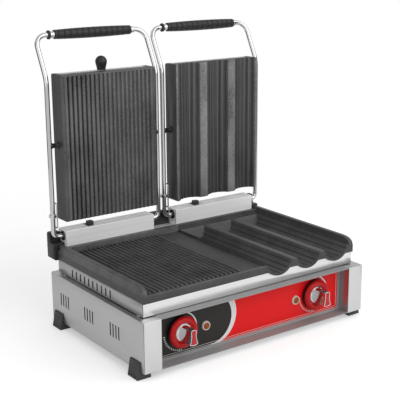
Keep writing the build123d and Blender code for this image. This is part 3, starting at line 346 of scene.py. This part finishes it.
upper_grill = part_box("upper_grill_plate")
upper_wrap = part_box("upper_wrap_plate")
rib_crest = joints["left_lid_hinge"].z - CREST_BELOW_HINGE
cast_lower_grill = cast_plate("cast plate, lower ribs", 2, rib_crest, 4 * MM, 0.15)
cast_lower_wrap = cast_plate("cast plate, lower troughs", 2, rib_crest + 1 * MM, 6 * MM, 0.10)
cast_upper_grill = cast_plate("cast plate, upper ribs", 1, upper_grill[0].y, 4 * MM, 0.20, -1.0)
cast_upper_wrap = cast_plate(
    "cast plate, upper channels", 1, upper_wrap[0].y, 2.2 * MM, 0.34, -1.0, rib_period=CHANNEL_RIB_PERIOD
)
print("cast finishes ready")

# %% [markdown]
# ## Bright bar, plastics and rubber
# The bars are polished and plated. The grips and the ball are black plastic, the feet are moulded
# rubber, the knobs are glossy red.

# %% Small finishes
def plain(name, color, roughness, metallic=0.0, speckle=0.06, scale=120.0, **constants):
    """One colour whose gloss varies a little with a fine noise."""
    finish = Finish(name, color, roughness, metallic, **constants)
    cloud = finish.noise(scale)
    finish.set("Roughness", cloud * speckle + (roughness - speckle / 2))
    return finish.material


chrome = plain("polished bright bar", (0.60, 0.60, 0.61), 0.12, 1.0)
black_plastic = plain("black satin plastic", (0.012, 0.012, 0.013), 0.42, IOR=1.46)
black_paint = plain("black painted casting", (0.012, 0.012, 0.012), 0.48, scale=400.0)
rubber = plain("black moulded rubber", (0.045, 0.045, 0.046), 0.62, speckle=0.12)
hardware = plain("plain steel hardware", (0.42, 0.42, 0.42), 0.35, 1.0)
heater_steel = plain("heat dulled steel", (0.30, 0.28, 0.26), 0.45, 1.0)
dark_steel = plain("dark steel bushes", (0.10, 0.10, 0.10), 0.45, 1.0)
ceramic = plain("pale insulating block", (0.75, 0.73, 0.68), 0.5)
pale_plastic = plain("pale lamp rim", (0.72, 0.66, 0.58), 0.3)
red_inlay = plain("red inlay", (0.50, 0.006, 0.010), 0.25)
amber = plain("amber lens", (0.30, 0.075, 0.020), 0.3, IOR=1.25)
# Near black, as painted shade behind the slots
shade_black = plain("black painted shade inside", grey(0.003), 0.9)
print("small finishes ready")

# %% [markdown]
# ## Softened copies of the CAD meshes
# A CAD mesh has perfectly sharp edges, which no folded sheet or casting has. A copy is merged, its
# flat faces are rejoined, and a narrow bevel rounds every edge, so that each one catches the light.
# The upper ribbed plate's front is pushed back to the foot of its ribs, which are made anew below.

# %% Soften and dress a CAD node
MERGE = 0.002 * MM
FLAT_ANGLE, EDGE_ANGLE = math.radians(0.6), math.radians(28)
SHEET_BEVEL, CAST_BEVEL, BRACKET_BEVEL, FOOT_BEVEL = 0.2 * MM, 0.5 * MM, 0.8 * MM, 0.6 * MM
RIB_HEIGHT = 2.4 * MM


def add_object(name, mesh):
    """An object that shows the mesh, linked into the scene."""
    made = bpy.data.objects.new(name, mesh)
    bpy.context.scene.collection.objects.link(made)
    return made


def add_mesh(name, points, faces, material):
    """An object with a new mesh of these points and faces, in one material."""
    mesh = bpy.data.meshes.new(name)
    mesh.from_pydata(points, [], faces)
    mesh.materials.append(material)
    return add_object(name, mesh)


def stands_for(made, node):
    """Ties a piece to a CAD node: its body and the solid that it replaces."""
    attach(made, body_of_node[node])
    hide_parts(node)


def dress(node, material, bevel=0.0, segments=2, flatten_front=None):
    """A merged copy of a CAD node with bevelled edges, in the node's place.

    With flatten_front, everything in front of that Y plane is pushed back on to it.
    """
    mesh = frame["nodes"][node].data.copy()
    made = add_object(node + "_shown", mesh)
    if flatten_front is not None:
        points = np.empty(3 * len(mesh.vertices), np.float32)
        mesh.vertices.foreach_get("co", points)
        points = points.reshape(-1, 3)
        points[:, 1] = np.maximum(points[:, 1], flatten_front)
        mesh.vertices.foreach_set("co", points.ravel())
    work = bmesh.new()
    work.from_mesh(mesh)
    bmesh.ops.remove_doubles(work, verts=work.verts, dist=MERGE)
    bmesh.ops.dissolve_degenerate(work, edges=work.edges, dist=MERGE)
    bmesh.ops.dissolve_limit(work, angle_limit=FLAT_ANGLE, verts=work.verts, edges=work.edges)
    work.to_mesh(mesh)
    work.free()
    mesh.materials.clear()
    mesh.materials.append(material)
    mesh.shade_smooth()
    if bevel:
        soften = made.modifiers.new("soft edges", "BEVEL")
        soften.width = bevel
        soften.segments = segments
        soften.limit_method = "ANGLE"
        soften.angle_limit = EDGE_ANGLE
        soften.harden_normals = True
        soften.use_clamp_overlap = True
    else:
        mesh.set_sharp_from_angle(angle=EDGE_ANGLE)
    stands_for(made, node)


def paint(node, material):
    """A CAD node shown as it is, with its finish."""
    mesh = frame["nodes"][node].data
    mesh.materials.clear()
    mesh.materials.append(material)


sheet_nodes = {
    "left_side_panel": steel_side_shaded["left"], "right_side_panel": steel_side_shaded["right"],
    "control_panel": steel_channel_shaded, "plate_tray": steel_tray,
    "left_hinge_box": steel_box["left"], "right_hinge_box": steel_box["right"],
    "upper_grill_cover": steel_satin, "upper_wrap_cover": steel_satin, "hinge_rail": steel_satin,
}
for node, material in sheet_nodes.items():
    dress(node, material, SHEET_BEVEL)
cast_nodes = {
    "lower_grill_plate": cast_lower_grill, "lower_wrap_plate": cast_lower_wrap,
    "upper_wrap_plate": cast_upper_wrap,
}
for node, material in cast_nodes.items():
    dress(node, material, CAST_BEVEL)
rib_foot_y = upper_grill[0].y + RIB_HEIGHT
dress("upper_grill_plate", cast_upper_grill, flatten_front=rib_foot_y)
for node in ("left_hinge_bracket", "centre_hinge_bracket", "right_hinge_bracket"):
    dress(node, black_paint, BRACKET_BEVEL)
for node in ("front_left_foot", "front_right_foot", "rear_left_foot", "rear_right_foot"):
    dress(node, rubber, FOOT_BEVEL)
plain_nodes = {
    "base_plate": steel_inside_shaded, "deck_plate": steel_inside_shaded, "back_panel": steel_x, "tray_spacers": hardware,
    "lower_grill_heater": heater_steel, "lower_wrap_heater": heater_steel,
    "upper_grill_heater": heater_steel, "upper_wrap_heater": heater_steel,
    "hinge_bushes": dark_steel, "hinge_bolts": hardware,
    "terminal_block": ceramic, "cable_gland": black_plastic,
    "left_thermostat": black_plastic, "right_thermostat": black_plastic,
    "left_control_shaft": hardware, "right_control_shaft": hardware,
    "left_balance_spring": hardware, "right_balance_spring": hardware,
}
for node, material in plain_nodes.items():
    paint(node, material)
print("sheets:", len(sheet_nodes), "cast plates:", len(cast_nodes) + 1, "painted:", len(plain_nodes))

# %% Black sheets behind the slots, as painted shade
SHADE_SHEET_HALF = 0.2 * MM
SIDE_DEPTH, SIDE_MARGINS = 1.8 * MM, (40 * MM, 6 * MM, 8 * MM, 8 * MM)
TRAY_DEPTH, TRAY_MARGINS = 1.6 * MM, (4 * MM, 4 * MM, 3 * MM, 10 * MM)


def shade_sheet(node, depth, margins):
    """A thin black sheet just behind a slotted wall, as painted shade, so that the slots look into the
    dark.

    A depth above 0 is counted from the piece's left side, one below 0 from its right side. The
    margins are kept free at the front, back, bottom and top.
    """
    low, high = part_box(node)
    wall = low.x + depth if depth > 0 else high.x + depth
    front, back, bottom, top = margins
    xs = (wall - SHADE_SHEET_HALF, wall + SHADE_SHEET_HALF)
    ys = (low.y + front, high.y - back)
    zs = (low.z + bottom, high.z - top)
    corners = [(x, y, z) for x in xs for y in ys for z in zs]
    sides = [(0, 1, 3, 2), (4, 6, 7, 5), (0, 4, 5, 1), (2, 3, 7, 6), (0, 2, 6, 4), (1, 5, 7, 3)]
    stands_for(add_mesh(node + "_lining", corners, sides, shade_black), node)


shade_sheet("left_side_panel", SIDE_DEPTH, SIDE_MARGINS)
shade_sheet("right_side_panel", -SIDE_DEPTH, SIDE_MARGINS)
for depth in (TRAY_DEPTH, -TRAY_DEPTH):
    shade_sheet("plate_tray", depth, TRAY_MARGINS)
print("slots lined")

# %% [markdown]
# ## Surfaces from formulas
# Round pieces are two-parameter surfaces: a ring carried along a path, or a profile turned about a
# line. Both are computed as whole arrays, then handed to the mesh at once. Straight pieces are
# outlines carried upward.

# %% Rings, tubes and turned shapes
def ring_mesh(name, points, material, cap_ends=False):
    """Quads between rows of points (rows, columns, 3), where each row closes into a ring."""
    rows, columns = points.shape[:2]
    grid = np.meshgrid(np.arange(rows - 1), np.arange(columns), indexing="ij")
    row, column = (steps.ravel() for steps in grid)
    here, after = row * columns, (column + 1) % columns
    quads = np.stack([here + column, here + columns + column, here + columns + after, here + after], 1)
    faces = quads.tolist()
    if cap_ends:
        faces += [list(range(columns)), list(range(rows * columns - 1, (rows - 1) * columns - 1, -1))]
    made = add_mesh(name, points.reshape(-1, 3).tolist(), faces, material)
    outward(made)
    return made


def outward(made, sharp=35):
    """Turns the faces outward and smooths them up to a sharp angle."""
    work = bmesh.new()
    work.from_mesh(made.data)
    bmesh.ops.remove_doubles(work, verts=work.verts, dist=1e-7)
    bmesh.ops.recalc_face_normals(work, faces=work.faces)
    work.to_mesh(made.data)
    work.free()
    made.data.polygons.foreach_set("use_smooth", np.ones(len(made.data.polygons), bool))
    made.data.set_sharp_from_angle(angle=math.radians(sharp))
    made.data.update()


def bent_path(corners, radii):
    """Points along straight runs joined by arcs, which start r * tan(turn / 2) before each corner."""
    corners = [np.array(c, float) for c in corners]
    pieces, start = [], corners[0]
    for before, corner, after, r in zip(corners, corners[1:], corners[2:], radii):
        way_in = (corner - before) / np.linalg.norm(corner - before)
        way_out = (after - corner) / np.linalg.norm(after - corner)
        turn = math.acos(float(np.clip(way_in @ way_out, -1, 1)))
        trim = r * math.tan(turn / 2)
        bend_start = corner - way_in * trim
        side = way_out - way_in * math.cos(turn)
        side /= np.linalg.norm(side)
        t = np.linspace(0, turn, max(16, int(turn * 24)))[:, None]
        arc = bend_start + r * (np.sin(t) * way_in + (1 - np.cos(t)) * side)
        pieces += [start[None], arc]
        start = arc[-1]
    pieces.append(corners[-1][None])
    path = np.concatenate(pieces)
    keep = np.r_[True, np.linalg.norm(np.diff(path, axis=0), axis=1) > 1e-6]
    return path[keep]


def tube(name, path, radius, material, reference=(0, 1, 0), sides=48):
    """A ring carried along a path: p + r * (cos v * n + sin v * b), b square to path and reference."""
    tangent = np.gradient(path, axis=0)
    tangent /= np.linalg.norm(tangent, axis=1)[:, None]
    b = np.cross(tangent, np.array(reference, float))
    b /= np.linalg.norm(b, axis=1)[:, None]
    n = np.cross(b, tangent)
    v = np.linspace(0, 2 * np.pi, sides, endpoint=False)
    ring = np.cos(v)[None, :, None] * n[:, None] + np.sin(v)[None, :, None] * b[:, None]
    return ring_mesh(name, path[:, None] + radius * ring, material, cap_ends=True)


def turned(name, profile, centre, axis, material, segments=72):
    """A profile (distance along the axis, radius) turned once round it; ends on the axis are closed."""
    profile = np.array(profile, float)
    axis = np.array(axis, float)
    first = np.cross(axis, (0, 0, 1) if abs(axis[2]) < 0.9 else (1, 0, 0))
    first /= np.linalg.norm(first)
    second = np.cross(axis, first)
    v = np.linspace(0, 2 * np.pi, segments, endpoint=False)
    ring = np.cos(v)[:, None] * first + np.sin(v)[:, None] * second
    points = np.array(centre, float) + profile[:, None, :1] * axis + profile[:, None, 1:] * ring[None]
    return ring_mesh(name, points, material)


def rounded(profile, r, steps=5):
    """The same profile with each corner a quadratic curve between points r away, or less on short runs."""
    p = np.array(profile, float)
    out = [p[:1]]
    for a, b, c in zip(p, p[1:], p[2:]):
        ra = min(r, 0.45 * np.linalg.norm(b - a))
        rc = min(r, 0.45 * np.linalg.norm(c - b))
        start = b + (a - b) / np.linalg.norm(a - b) * ra
        end = b + (c - b) / np.linalg.norm(c - b) * rc
        t = np.linspace(0, 1, steps)[:, None]
        out.append((1 - t) ** 2 * start + 2 * t * (1 - t) * b + t**2 * end)
    out.append(p[-1:])
    return np.concatenate(out)


def prisms(name, outlines, heights, material):
    """Upright prisms: each (x, y) outline is carried straight up between its two heights."""
    points, faces = [], []
    for outline, (bottom, top) in zip(outlines, heights):
        count, first = len(outline), len(points)
        points += [(x, y, bottom) for x, y in outline] + [(x, y, top) for x, y in outline]
        for k in range(count):
            after = (k + 1) % count
            faces.append([first + k, first + after, first + count + after, first + count + k])
        faces += [list(range(first, first + count))[::-1], list(range(first + count, first + 2 * count))]
    made = add_mesh(name, points, faces, material)
    outward(made)
    return made


print("surface tools ready")

# %% [markdown]
# ## Ribs of the upper plate
# Twenty-one broad ribs run the height of the plate, with narrow grooves between them, and a smooth
# strip flush with their crests closes them off at the top.

# %% Upper ribs
RIB_COUNT, RIB_PITCH, RIB_FOOT, RIB_CREST, STRIP = 21, 9.9 * MM, 7.0 * MM, 4.2 * MM, 3.6 * MM
EDGE_OUT, EDGE_IN, EDGE_BACK = 0.5 * MM, 0.3 * MM, 0.6 * MM
SUNK = 0.5 * MM
SIDE_MARGIN, BOTTOM_MARGIN, TOP_MARGIN = 1 * MM, 2 * MM, 0.3 * MM

low, high = upper_grill
middle, front, sunk = (low.x + high.x) / 2, low.y, rib_foot_y + SUNK
right_flank = [
    (RIB_CREST / 2 - EDGE_IN, front), (RIB_CREST / 2 + EDGE_OUT, front + EDGE_BACK), (RIB_FOOT / 2, sunk)
]
rib_outline = [(-x, y) for x, y in right_flank[::-1]] + right_flank
outlines, heights = [], []
for k in range(RIB_COUNT):
    x = middle + (k - (RIB_COUNT - 1) / 2) * RIB_PITCH
    outlines.append([(x + across, y) for across, y in rib_outline])
    heights.append((low.z + BOTTOM_MARGIN, high.z - STRIP))
strip_left, strip_right = low.x + SIDE_MARGIN, high.x - SIDE_MARGIN
outlines.append([(strip_left, front), (strip_right, front), (strip_right, sunk), (strip_left, sunk)])
heights.append((high.z - STRIP, high.z - TOP_MARGIN))
ribs = prisms("upper_ribs", outlines, heights, cast_upper_grill)
stands_for(ribs, "upper_grill_plate")
print("upper ribs:", RIB_COUNT)

# %% [markdown]
# ## Lid bars
# Each lid is one round bar, bent: out of the hinge box, up one side, back at the top bend, over the
# grip and down the other side. The path comes from the CAD node's own box and its hinge. The grip,
# its bright ferrules and the waisted spacers beside the plates are turned round their own lines.

# %% Bars, grips and fittings
ARM_RISE, AXLE, BENDS = 320 * MM, 52 * MM, (12 * MM, 60 * MM, 24 * MM)
GRIP_RINGS, FINE_PER_RING = 12, 3
GRIP_ENDS = 0.84
GROOVE_HALF, GROOVE_DEPTH, FINE_DEPTH = 0.11, 1.3 * MM, 0.18 * MM
FERRULE_EDGE, STOP_EDGE, SPACER_EDGE = 1.0 * MM, 1.2 * MM, 1 * MM
SPACER_HEAD, SPACER_SHOULDER, SPACER_NECK, SPACER_WAIST = 6.0 * MM, 6.4 * MM, 5.2 * MM, 4.3 * MM
SPACER_FLARE, SPACER_FOOT, SPACER_BORE = 6.0 * MM, 7.5 * MM, 3 * MM
SPACER_GAP, NECK_LENGTH, WAIST_SHIFT = 0.3 * MM, 1.5 * MM, 1 * MM
FLARE_LENGTH, FOOT_LENGTH, FOOT_GAP = 2.4 * MM, 1.2 * MM, 0.2 * MM


def grip_profile(length, bar_radius, radius):
    """A grip that swells towards its middle, with deep grooves between its rings and fine ones on them."""
    s = np.linspace(0, 1, 400)
    ends = GRIP_ENDS * radius
    swell = ends + (radius - ends) * np.sin(np.pi * s) ** 0.8
    phase = (s * (GRIP_RINGS + 1.0)) % 1.0
    groove = np.clip(1 - np.abs(phase - 0.5) / GROOVE_HALF, 0, 1)
    fine = FINE_DEPTH * np.abs(np.sin(np.pi * s * (GRIP_RINGS + 1) * FINE_PER_RING))
    body = swell - GROOVE_DEPTH * groove**0.6 - fine
    return [(0, bar_radius)] + list(zip(s * length, body)) + [(length, bar_radius)]


def collar_profile(length, bar_radius, radius, edge):
    """A ring on the bar with rounded outer edges."""
    return rounded([(0, bar_radius), (0, radius), (length, radius), (length, bar_radius)], edge)


def spacer_profile(reach, bar_radius):
    """A spacer from the bar's middle to the plate's wall: a head on the bar, a waist, a wide foot."""
    waist_place = (bar_radius + reach) / 2 + WAIST_SHIFT
    return rounded([
        (SPACER_GAP, bar_radius), (SPACER_GAP, SPACER_HEAD), (bar_radius, SPACER_SHOULDER),
        (bar_radius + NECK_LENGTH, SPACER_NECK), (waist_place, SPACER_WAIST),
        (reach - FLARE_LENGTH, SPACER_FLARE), (reach - FOOT_LENGTH, SPACER_FOOT),
        (reach - FOOT_GAP, SPACER_FOOT), (reach - FOOT_GAP, SPACER_BORE),
    ], SPACER_EDGE)


for hand in HANDS:
    low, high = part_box(f"{hand}_handle_frame")
    hinge = joints[f"{hand}_lid_hinge"]
    r = abs(low.y - hinge.y)
    left_x, right_x = low.x + r, high.x - r
    grip_y, grip_z = high.y - r, high.z - r
    arm_top = hinge.z + ARM_RISE
    corners = [
        (left_x + AXLE, hinge.y, hinge.z), (left_x, hinge.y, hinge.z), (left_x, hinge.y, arm_top),
        (left_x, grip_y, grip_z), (right_x, grip_y, grip_z), (right_x, hinge.y, arm_top),
        (right_x, hinge.y, hinge.z), (right_x - AXLE, hinge.y, hinge.z),
    ]
    bar = tube(f"{hand}_bar", bent_path(corners, BENDS + BENDS[::-1]), r, chrome)
    stands_for(bar, f"{hand}_handle_frame")

    g_low, g_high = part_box(f"{hand}_handle_grip")
    profile = grip_profile(g_high.x - g_low.x, r, (g_high.z - g_low.z) / 2)
    grip = turned(f"{hand}_grip", profile, (g_low.x, grip_y, grip_z), (1, 0, 0), black_plastic)
    stands_for(grip, f"{hand}_handle_grip")

    f_low, f_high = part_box(f"{hand}_grip_ferrules")
    ferrule_r = (f_high.z - f_low.z) / 2
    for start, end, part in ((f_low.x, g_low.x, "inner"), (g_high.x, f_high.x, "outer")):
        shape = collar_profile(end - start, r, ferrule_r, FERRULE_EDGE)
        ferrule = turned(f"{hand}_ferrule_{part}", shape, (start, grip_y, grip_z), (1, 0, 0), chrome)
        stands_for(ferrule, f"{hand}_grip_ferrules")
    s_low, s_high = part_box(f"{hand}_grip_stop")
    shape = collar_profile(s_high.x - s_low.x, r, (s_high.z - s_low.z) / 2, STOP_EDGE)
    stop = turned(f"{hand}_stop", shape, (s_low.x, grip_y, grip_z), (1, 0, 0), black_plastic)
    stands_for(stop, f"{hand}_grip_stop")

    pivot = joints[f"{hand}_plate_tilt"]
    plate_low, plate_high = upper_grill if hand == "left" else upper_wrap
    for side, arm_x, wall_x in ((1, left_x, plate_low.x), (-1, right_x, plate_high.x)):
        shape = spacer_profile(abs(wall_x - arm_x), r)
        centre = (arm_x, pivot.y, pivot.z)
        spacer = turned(f"{hand}_spacer_{side}", shape, centre, (side, 0, 0), black_paint, 40)
        stands_for(spacer, f"{hand}_pivot_screws")
    dress(f"{hand}_lead_guide", chrome)
print("lid bars ready")

# %% [markdown]
# ## Ball knob and grommets
# The black knob on the left cover is pear shaped: a ball that narrows in a straight line to its foot.
# A squarish black grommet closes the slot in the top of each hinge box.

# %% The ball knob
KNOB_FOOT = 8.5 * MM
BALL_START = -0.35

low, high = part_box("ball_knob")
ball_r = (high.x - low.x) / 2
rise = high.z - low.z
t = np.linspace(BALL_START, np.pi / 2, 40)
ball = np.stack([rise - ball_r + ball_r * np.sin(t), ball_r * np.cos(t)], 1)
shape = np.concatenate([[(0, 0), (0, KNOB_FOOT)], ball])
foot_centre = ((low.x + high.x) / 2, (low.y + high.y) / 2, low.z)
pear = turned("pear_knob", shape, foot_centre, (0, 0, 1), black_plastic)
stands_for(pear, "ball_knob")
print("ball knob ready")

# %% Grommets on the hinge boxes
GROMMET_FROM_LEFT, GROMMET_HALF = 64 * MM, 6.6 * MM
GROMMET_SUNK, GROMMET_RISE = 1 * MM, 7 * MM
SQUARENESS = 0.35


def squared(wave):
    """A sine or cosine pressed towards a square wave, which turns a circle into a rounded square."""
    return np.sign(wave) * np.abs(wave) ** SQUARENESS


for hand in HANDS:
    low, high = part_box(f"{hand}_hinge_box")
    x, y = low.x + GROMMET_FROM_LEFT, (low.y + high.y) / 2
    t = np.linspace(0, 2 * np.pi, 48, endpoint=False)
    outline = list(zip(x + GROMMET_HALF * squared(np.cos(t)), y + GROMMET_HALF * squared(np.sin(t))))
    span = (high.z - GROMMET_SUNK, high.z + GROMMET_RISE)
    grommet = prisms(f"{hand}_grommet", [outline], [span], rubber)
    stands_for(grommet, f"{hand}_hinge_box")
print("grommets ready")

# %% [markdown]
# ## Control knobs
# A red ring with a well rounded front holds a bright, shallow dished disc. The ring's rear is painted
# near black as painted shade on its side wall. A bright bar with a red inlay lies across it. Ring and
# disc are turned profiles; bar and inlay come from the CAD.

# %% Knob skirts, bars and inlays
RING_RED, SIDE_SHADE_BLACK = (0.52, 0.003, 0.005), grey(0.012)
RED_DEPTH = 6.5 * MM
DISH = 18 * MM
RING_EDGE, DISC_EDGE = 2.6 * MM, 3 * MM
KNOB_BAR_BEVEL, INLAY_BEVEL = 0.5 * MM, 0.2 * MM

red_ring = Finish("glossy red ring, its rear painted dark as shade", RING_RED, 0.28, IOR=1.35)
ring_low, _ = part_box("left_knob_skirt")
# Behind RED_DEPTH the ring is painted near black: painted shade on its side wall
shaded_rear = red_ring.y > ring_low.y + RED_DEPTH
red_ring.set("Base Color", red_ring.mix(shaded_rear, RING_RED, SIDE_SHADE_BLACK))

for hand in HANDS:
    low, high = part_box(f"{hand}_knob_skirt")
    centre = ((low.x + high.x) / 2, low.y, (low.z + high.z) / 2)
    outer, depth = (high.x - low.x) / 2, high.y - low.y
    # Each corner is its distance behind the knob's front plane and its radius
    ring_profile = rounded([
        (depth, 4 * MM), (depth, outer), (5 * MM, outer - 0.6 * MM), (0, outer - 5 * MM),
        (0.6 * MM, DISH + 4 * MM), (5.2 * MM, DISH), (5.4 * MM, 4 * MM),
    ], RING_EDGE, 8)
    ring = turned(f"{hand}_ring", ring_profile, centre, (0, 1, 0), red_ring.material, 128)
    stands_for(ring, f"{hand}_knob_skirt")
    disc_profile = rounded([
        (2.4 * MM, 0.0), (2.6 * MM, 5 * MM), (3.4 * MM, 11 * MM), (5.0 * MM, DISH - 0.4 * MM),
        (6 * MM, DISH - 0.2 * MM),
    ], DISC_EDGE)
    bright_disc = turned(f"{hand}_knob_disc", disc_profile, centre, (0, 1, 0), chrome, 96)
    stands_for(bright_disc, f"{hand}_knob_bar")
    dress(f"{hand}_knob_bar", chrome, KNOB_BAR_BEVEL, 3)
    dress(f"{hand}_knob_inlay", red_inlay, INLAY_BEVEL, 2)
print("control knobs ready")

# %% Lamps
LAMP_BEVEL = 0.3 * MM
for node, material in (("lamp_bezels", pale_plastic), ("lamp_lenses", amber)):
    dress(node, material, LAMP_BEVEL)
print("lamps ready")

# %% [markdown]
# ## The printed label
# The label is flat, so its print is a formula of X and Z: black on the left and red on the right of a
# white divider. The divider lies between two circles, one inside the other and set off to one side.
# Each knob has a scale of plain ticks and a crescent round it. Thin lines run along the lower edge
# and up the right one.

# %% Label print
RED, BLACK, WHITE = (0.82, 0.006, 0.008), (0.024, 0.023, 0.021), grey(0.80)
TICK_WHITE, LINE_GREY = (0.75, 0.75, 0.72), (0.60, 0.58, 0.56)
TICK_DEGREES, TICK_SHARE = 7.0, 0.38
TICK_INNER, TICK_OUTER, TICK_FROM, TICK_TO = 36.0 * MM, 39.4 * MM, math.radians(-176), math.radians(-84)
CRESCENT_OUTER, CRESCENT_INNER, CRESCENT_SHIFT = 37.6 * MM, 37.4 * MM, 1.9 * MM
CRESCENT_FROM, CRESCENT_TO = math.radians(8), math.radians(82)

LOWEST_FROM, LOWEST_TO, SECOND_FROM, SECOND_TO = 1.0 * MM, 1.9 * MM, 4.6 * MM, 5.4 * MM
UPRIGHT_FROM, UPRIGHT_TO = 3.0 * MM, 4.0 * MM

label_low, label_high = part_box("panel_label")
# Each circle is its centre's x, its centre's z and its radius
black_circle = (-104.3 * MM, label_low.z + 51.1 * MM, 49.8 * MM)
white_circle = (-100.5 * MM, label_low.z + 54.4 * MM, 57.5 * MM)
label = Finish("printed label", grey(0.02), 0.34, IOR=1.3)


def disc(finish, x, z, radius):
    """1 inside the circle round (x, z), 0 outside."""
    dx, dz = finish.x - x, finish.z - z
    return (dx * dx + dz * dz).root() < radius


def left_of_circle(finish, x, z, radius):
    """1 inside the circle, or anywhere to the left of its centre."""
    return (disc(finish, x, z, radius) + (finish.x < x)).clamp()


def dial(finish, x, z):
    """Scale ticks at the lower left of a knob and a tapered crescent at its upper right."""
    dx, dz = finish.x - x, finish.z - z
    radius = (dx * dx + dz * dz).root()
    angle = dz.math("ARCTAN2", dx)
    tick = (angle * (180 / math.pi / TICK_DEGREES)).math("FRACT") < TICK_SHARE
    ticks = tick * within(radius, TICK_INNER, TICK_OUTER) * within(angle, TICK_FROM, TICK_TO)
    outer = disc(finish, x, z, CRESCENT_OUTER)
    inner = disc(finish, x - CRESCENT_SHIFT, z - CRESCENT_SHIFT, CRESCENT_INNER)
    crescent = outer * (1 - inner) * within(angle, CRESCENT_FROM, CRESCENT_TO)
    return ticks, crescent


in_black = left_of_circle(label, *black_circle)
in_white = left_of_circle(label, *white_circle)
colour = label.mix(in_white, RED, WHITE)
colour = label.mix(in_black, colour, BLACK)
for hand in HANDS:
    low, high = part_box(f"{hand}_knob_skirt")
    ticks, crescent = dial(label, (low.x + high.x) / 2, (low.z + high.z) / 2)
    colour = label.mix(ticks, colour, TICK_WHITE)
    colour = label.mix(crescent, colour, WHITE)
second_bottom, upright_right = label_low.z + SECOND_FROM, label_high.x - UPRIGHT_FROM
lowest = within(label.z, label_low.z + LOWEST_FROM, label_low.z + LOWEST_TO)
second = within(label.z, second_bottom, label_low.z + SECOND_TO) * (label.x < upright_right)
upright = within(label.x, label_high.x - UPRIGHT_TO, upright_right) * (label.z > second_bottom)
lines = (lowest + second + upright).clamp()
label.set("Base Color", label.mix(lines, colour, LINE_GREY))
paint("panel_label", label.material)
print("label ready")

# %% [markdown]
# ## Floor, light and camera
# The white floor fades out into a white background, which lights the object at only half that level.
# A large soft light stands at the front right, a weaker one at the left. Two black cards, which only
# reflections see, draw the dark lines along the bright bars.

# %% Studio
FLOOR_HALF, FADE_START, FADE_END = 3.0, 0.75, 1.25
FLOOR_GLOW, FLOOR_IN_METAL = 0.42, 0.6
WORLD_LIGHT, WORLD_IN_METAL = 0.5, 0.55


def seen(start, glossy):
    """1 for what the camera sees, directly or through glass, and `glossy` for what metal reflects."""
    path = start.node("ShaderNodeLightPath")
    outputs = path.socket.node.outputs
    camera_ray, glossy_ray, glass_ray = (
        Sock(start.tree, outputs[f"Is {kind} Ray"]) for kind in ("Camera", "Glossy", "Transmission")
    )
    return (camera_ray + glossy_ray * glossy + glass_ray).clamp()


def rectangle(half_width, half_height):
    """The corners of a flat rectangle round the origin, counted anticlockwise."""
    return [(x * half_width, y * half_height, 0) for x, y in ((-1, -1), (1, -1), (1, 1), (-1, 1))]


white = Finish("white studio floor", grey(0.86), 0.7, IOR=1.2)
white.set("Emission Color", (1, 1, 1, 1))
white.set("Emission Strength", seen(white.start, FLOOR_IN_METAL) * FLOOR_GLOW)
distance = (white.x * white.x + white.y * white.y).root()
white.set("Alpha", 1 - distance.between(FADE_START, FADE_END))
floor = add_mesh("floor", rectangle(FLOOR_HALF, FLOOR_HALF), [(0, 1, 2, 3)], white.material)

world = bpy.context.scene.world or bpy.data.worlds.new("studio")
bpy.context.scene.world = world
world.use_nodes = True
tree = world.node_tree
back = tree.nodes["Background"]
back.inputs["Color"].default_value = (1, 1, 1, 1)
strength = seen(Sock(tree, None), WORLD_IN_METAL) * (1 - WORLD_LIGHT) + WORLD_LIGHT
tree.links.new(strength.socket, back.inputs["Strength"])


def dark_card(name, place, aim, width, height):
    """A black sheet that only reflections see: it draws the dark lines on bright round bars."""
    card = Finish(name + " black", grey(0.004), 0.9)
    turn = (Vector(aim) - Vector(place)).to_track_quat("-Z", "Y").to_matrix()
    corners = [turn @ Vector(corner) + Vector(place) for corner in rectangle(width / 2, height / 2)]
    made = add_mesh(name, corners, [(0, 1, 2, 3)], card.material)
    made.visible_camera = made.visible_diffuse = made.visible_shadow = made.visible_transmission = False


dark_card("left card", (-1.25, 0.95, 0.65), (-0.05, 0.1, 0.45), 0.95, 1.3)
dark_card("right card", (1.30, -0.75, 0.65), (0.05, 0.1, 0.45), 0.75, 1.3)


def area_light(name, place, aim, width, height, watts):
    """A soft rectangular light at a place, turned towards its aim."""
    lamp = bpy.data.lights.new(name, "AREA")
    lamp.shape = "RECTANGLE"
    lamp.size, lamp.size_y, lamp.energy = width, height, watts
    made = bpy.data.objects.new(name, lamp)
    made.location = place
    made.rotation_mode = "QUATERNION"
    made.rotation_quaternion = (Vector(aim) - Vector(place)).to_track_quat("-Z", "Y")
    bpy.context.scene.collection.objects.link(made)


area_light("key", (1.0, -2.0, 1.9), (0, 0, 0.25), 3.6, 2.6, 42)
area_light("fill", (-2.2, -0.8, 1.2), (0, 0, 0.2), 2.0, 2.0, 7)
print("floor, background, cards and lights ready")

# %% The camera, at the photograph's angle
AZIMUTH, ELEVATION, ROLL = math.radians(-35.66), math.radians(14.86), math.radians(-0.42)
CAMERA_PLACE = Vector((-1.1087, -1.5346, 0.7578))
LENS, SENSOR = 86.32, 36.0
camera_data = bpy.data.cameras.new("camera")
camera_data.lens, camera_data.sensor_width = LENS, SENSOR
camera = bpy.data.objects.new("camera", camera_data)
bpy.context.scene.collection.objects.link(camera)
back_way = Vector((
    math.cos(ELEVATION) * math.sin(AZIMUTH), -math.cos(ELEVATION) * math.cos(AZIMUTH), math.sin(ELEVATION)
))
right_way = (-back_way).cross(Vector((0, 0, 1))).normalized()
up_way = right_way.cross(-back_way).normalized()
right = right_way * math.cos(ROLL) + up_way * math.sin(ROLL)
up = -right_way * math.sin(ROLL) + up_way * math.cos(ROLL)
turn = Matrix((right, up, back_way)).transposed()
camera.matrix_world = Matrix.Translation(CAMERA_PLACE) @ turn.to_4x4()
bpy.context.scene.camera = camera
bpy.context.scene.view_settings.view_transform = "Standard"
print("camera ready")
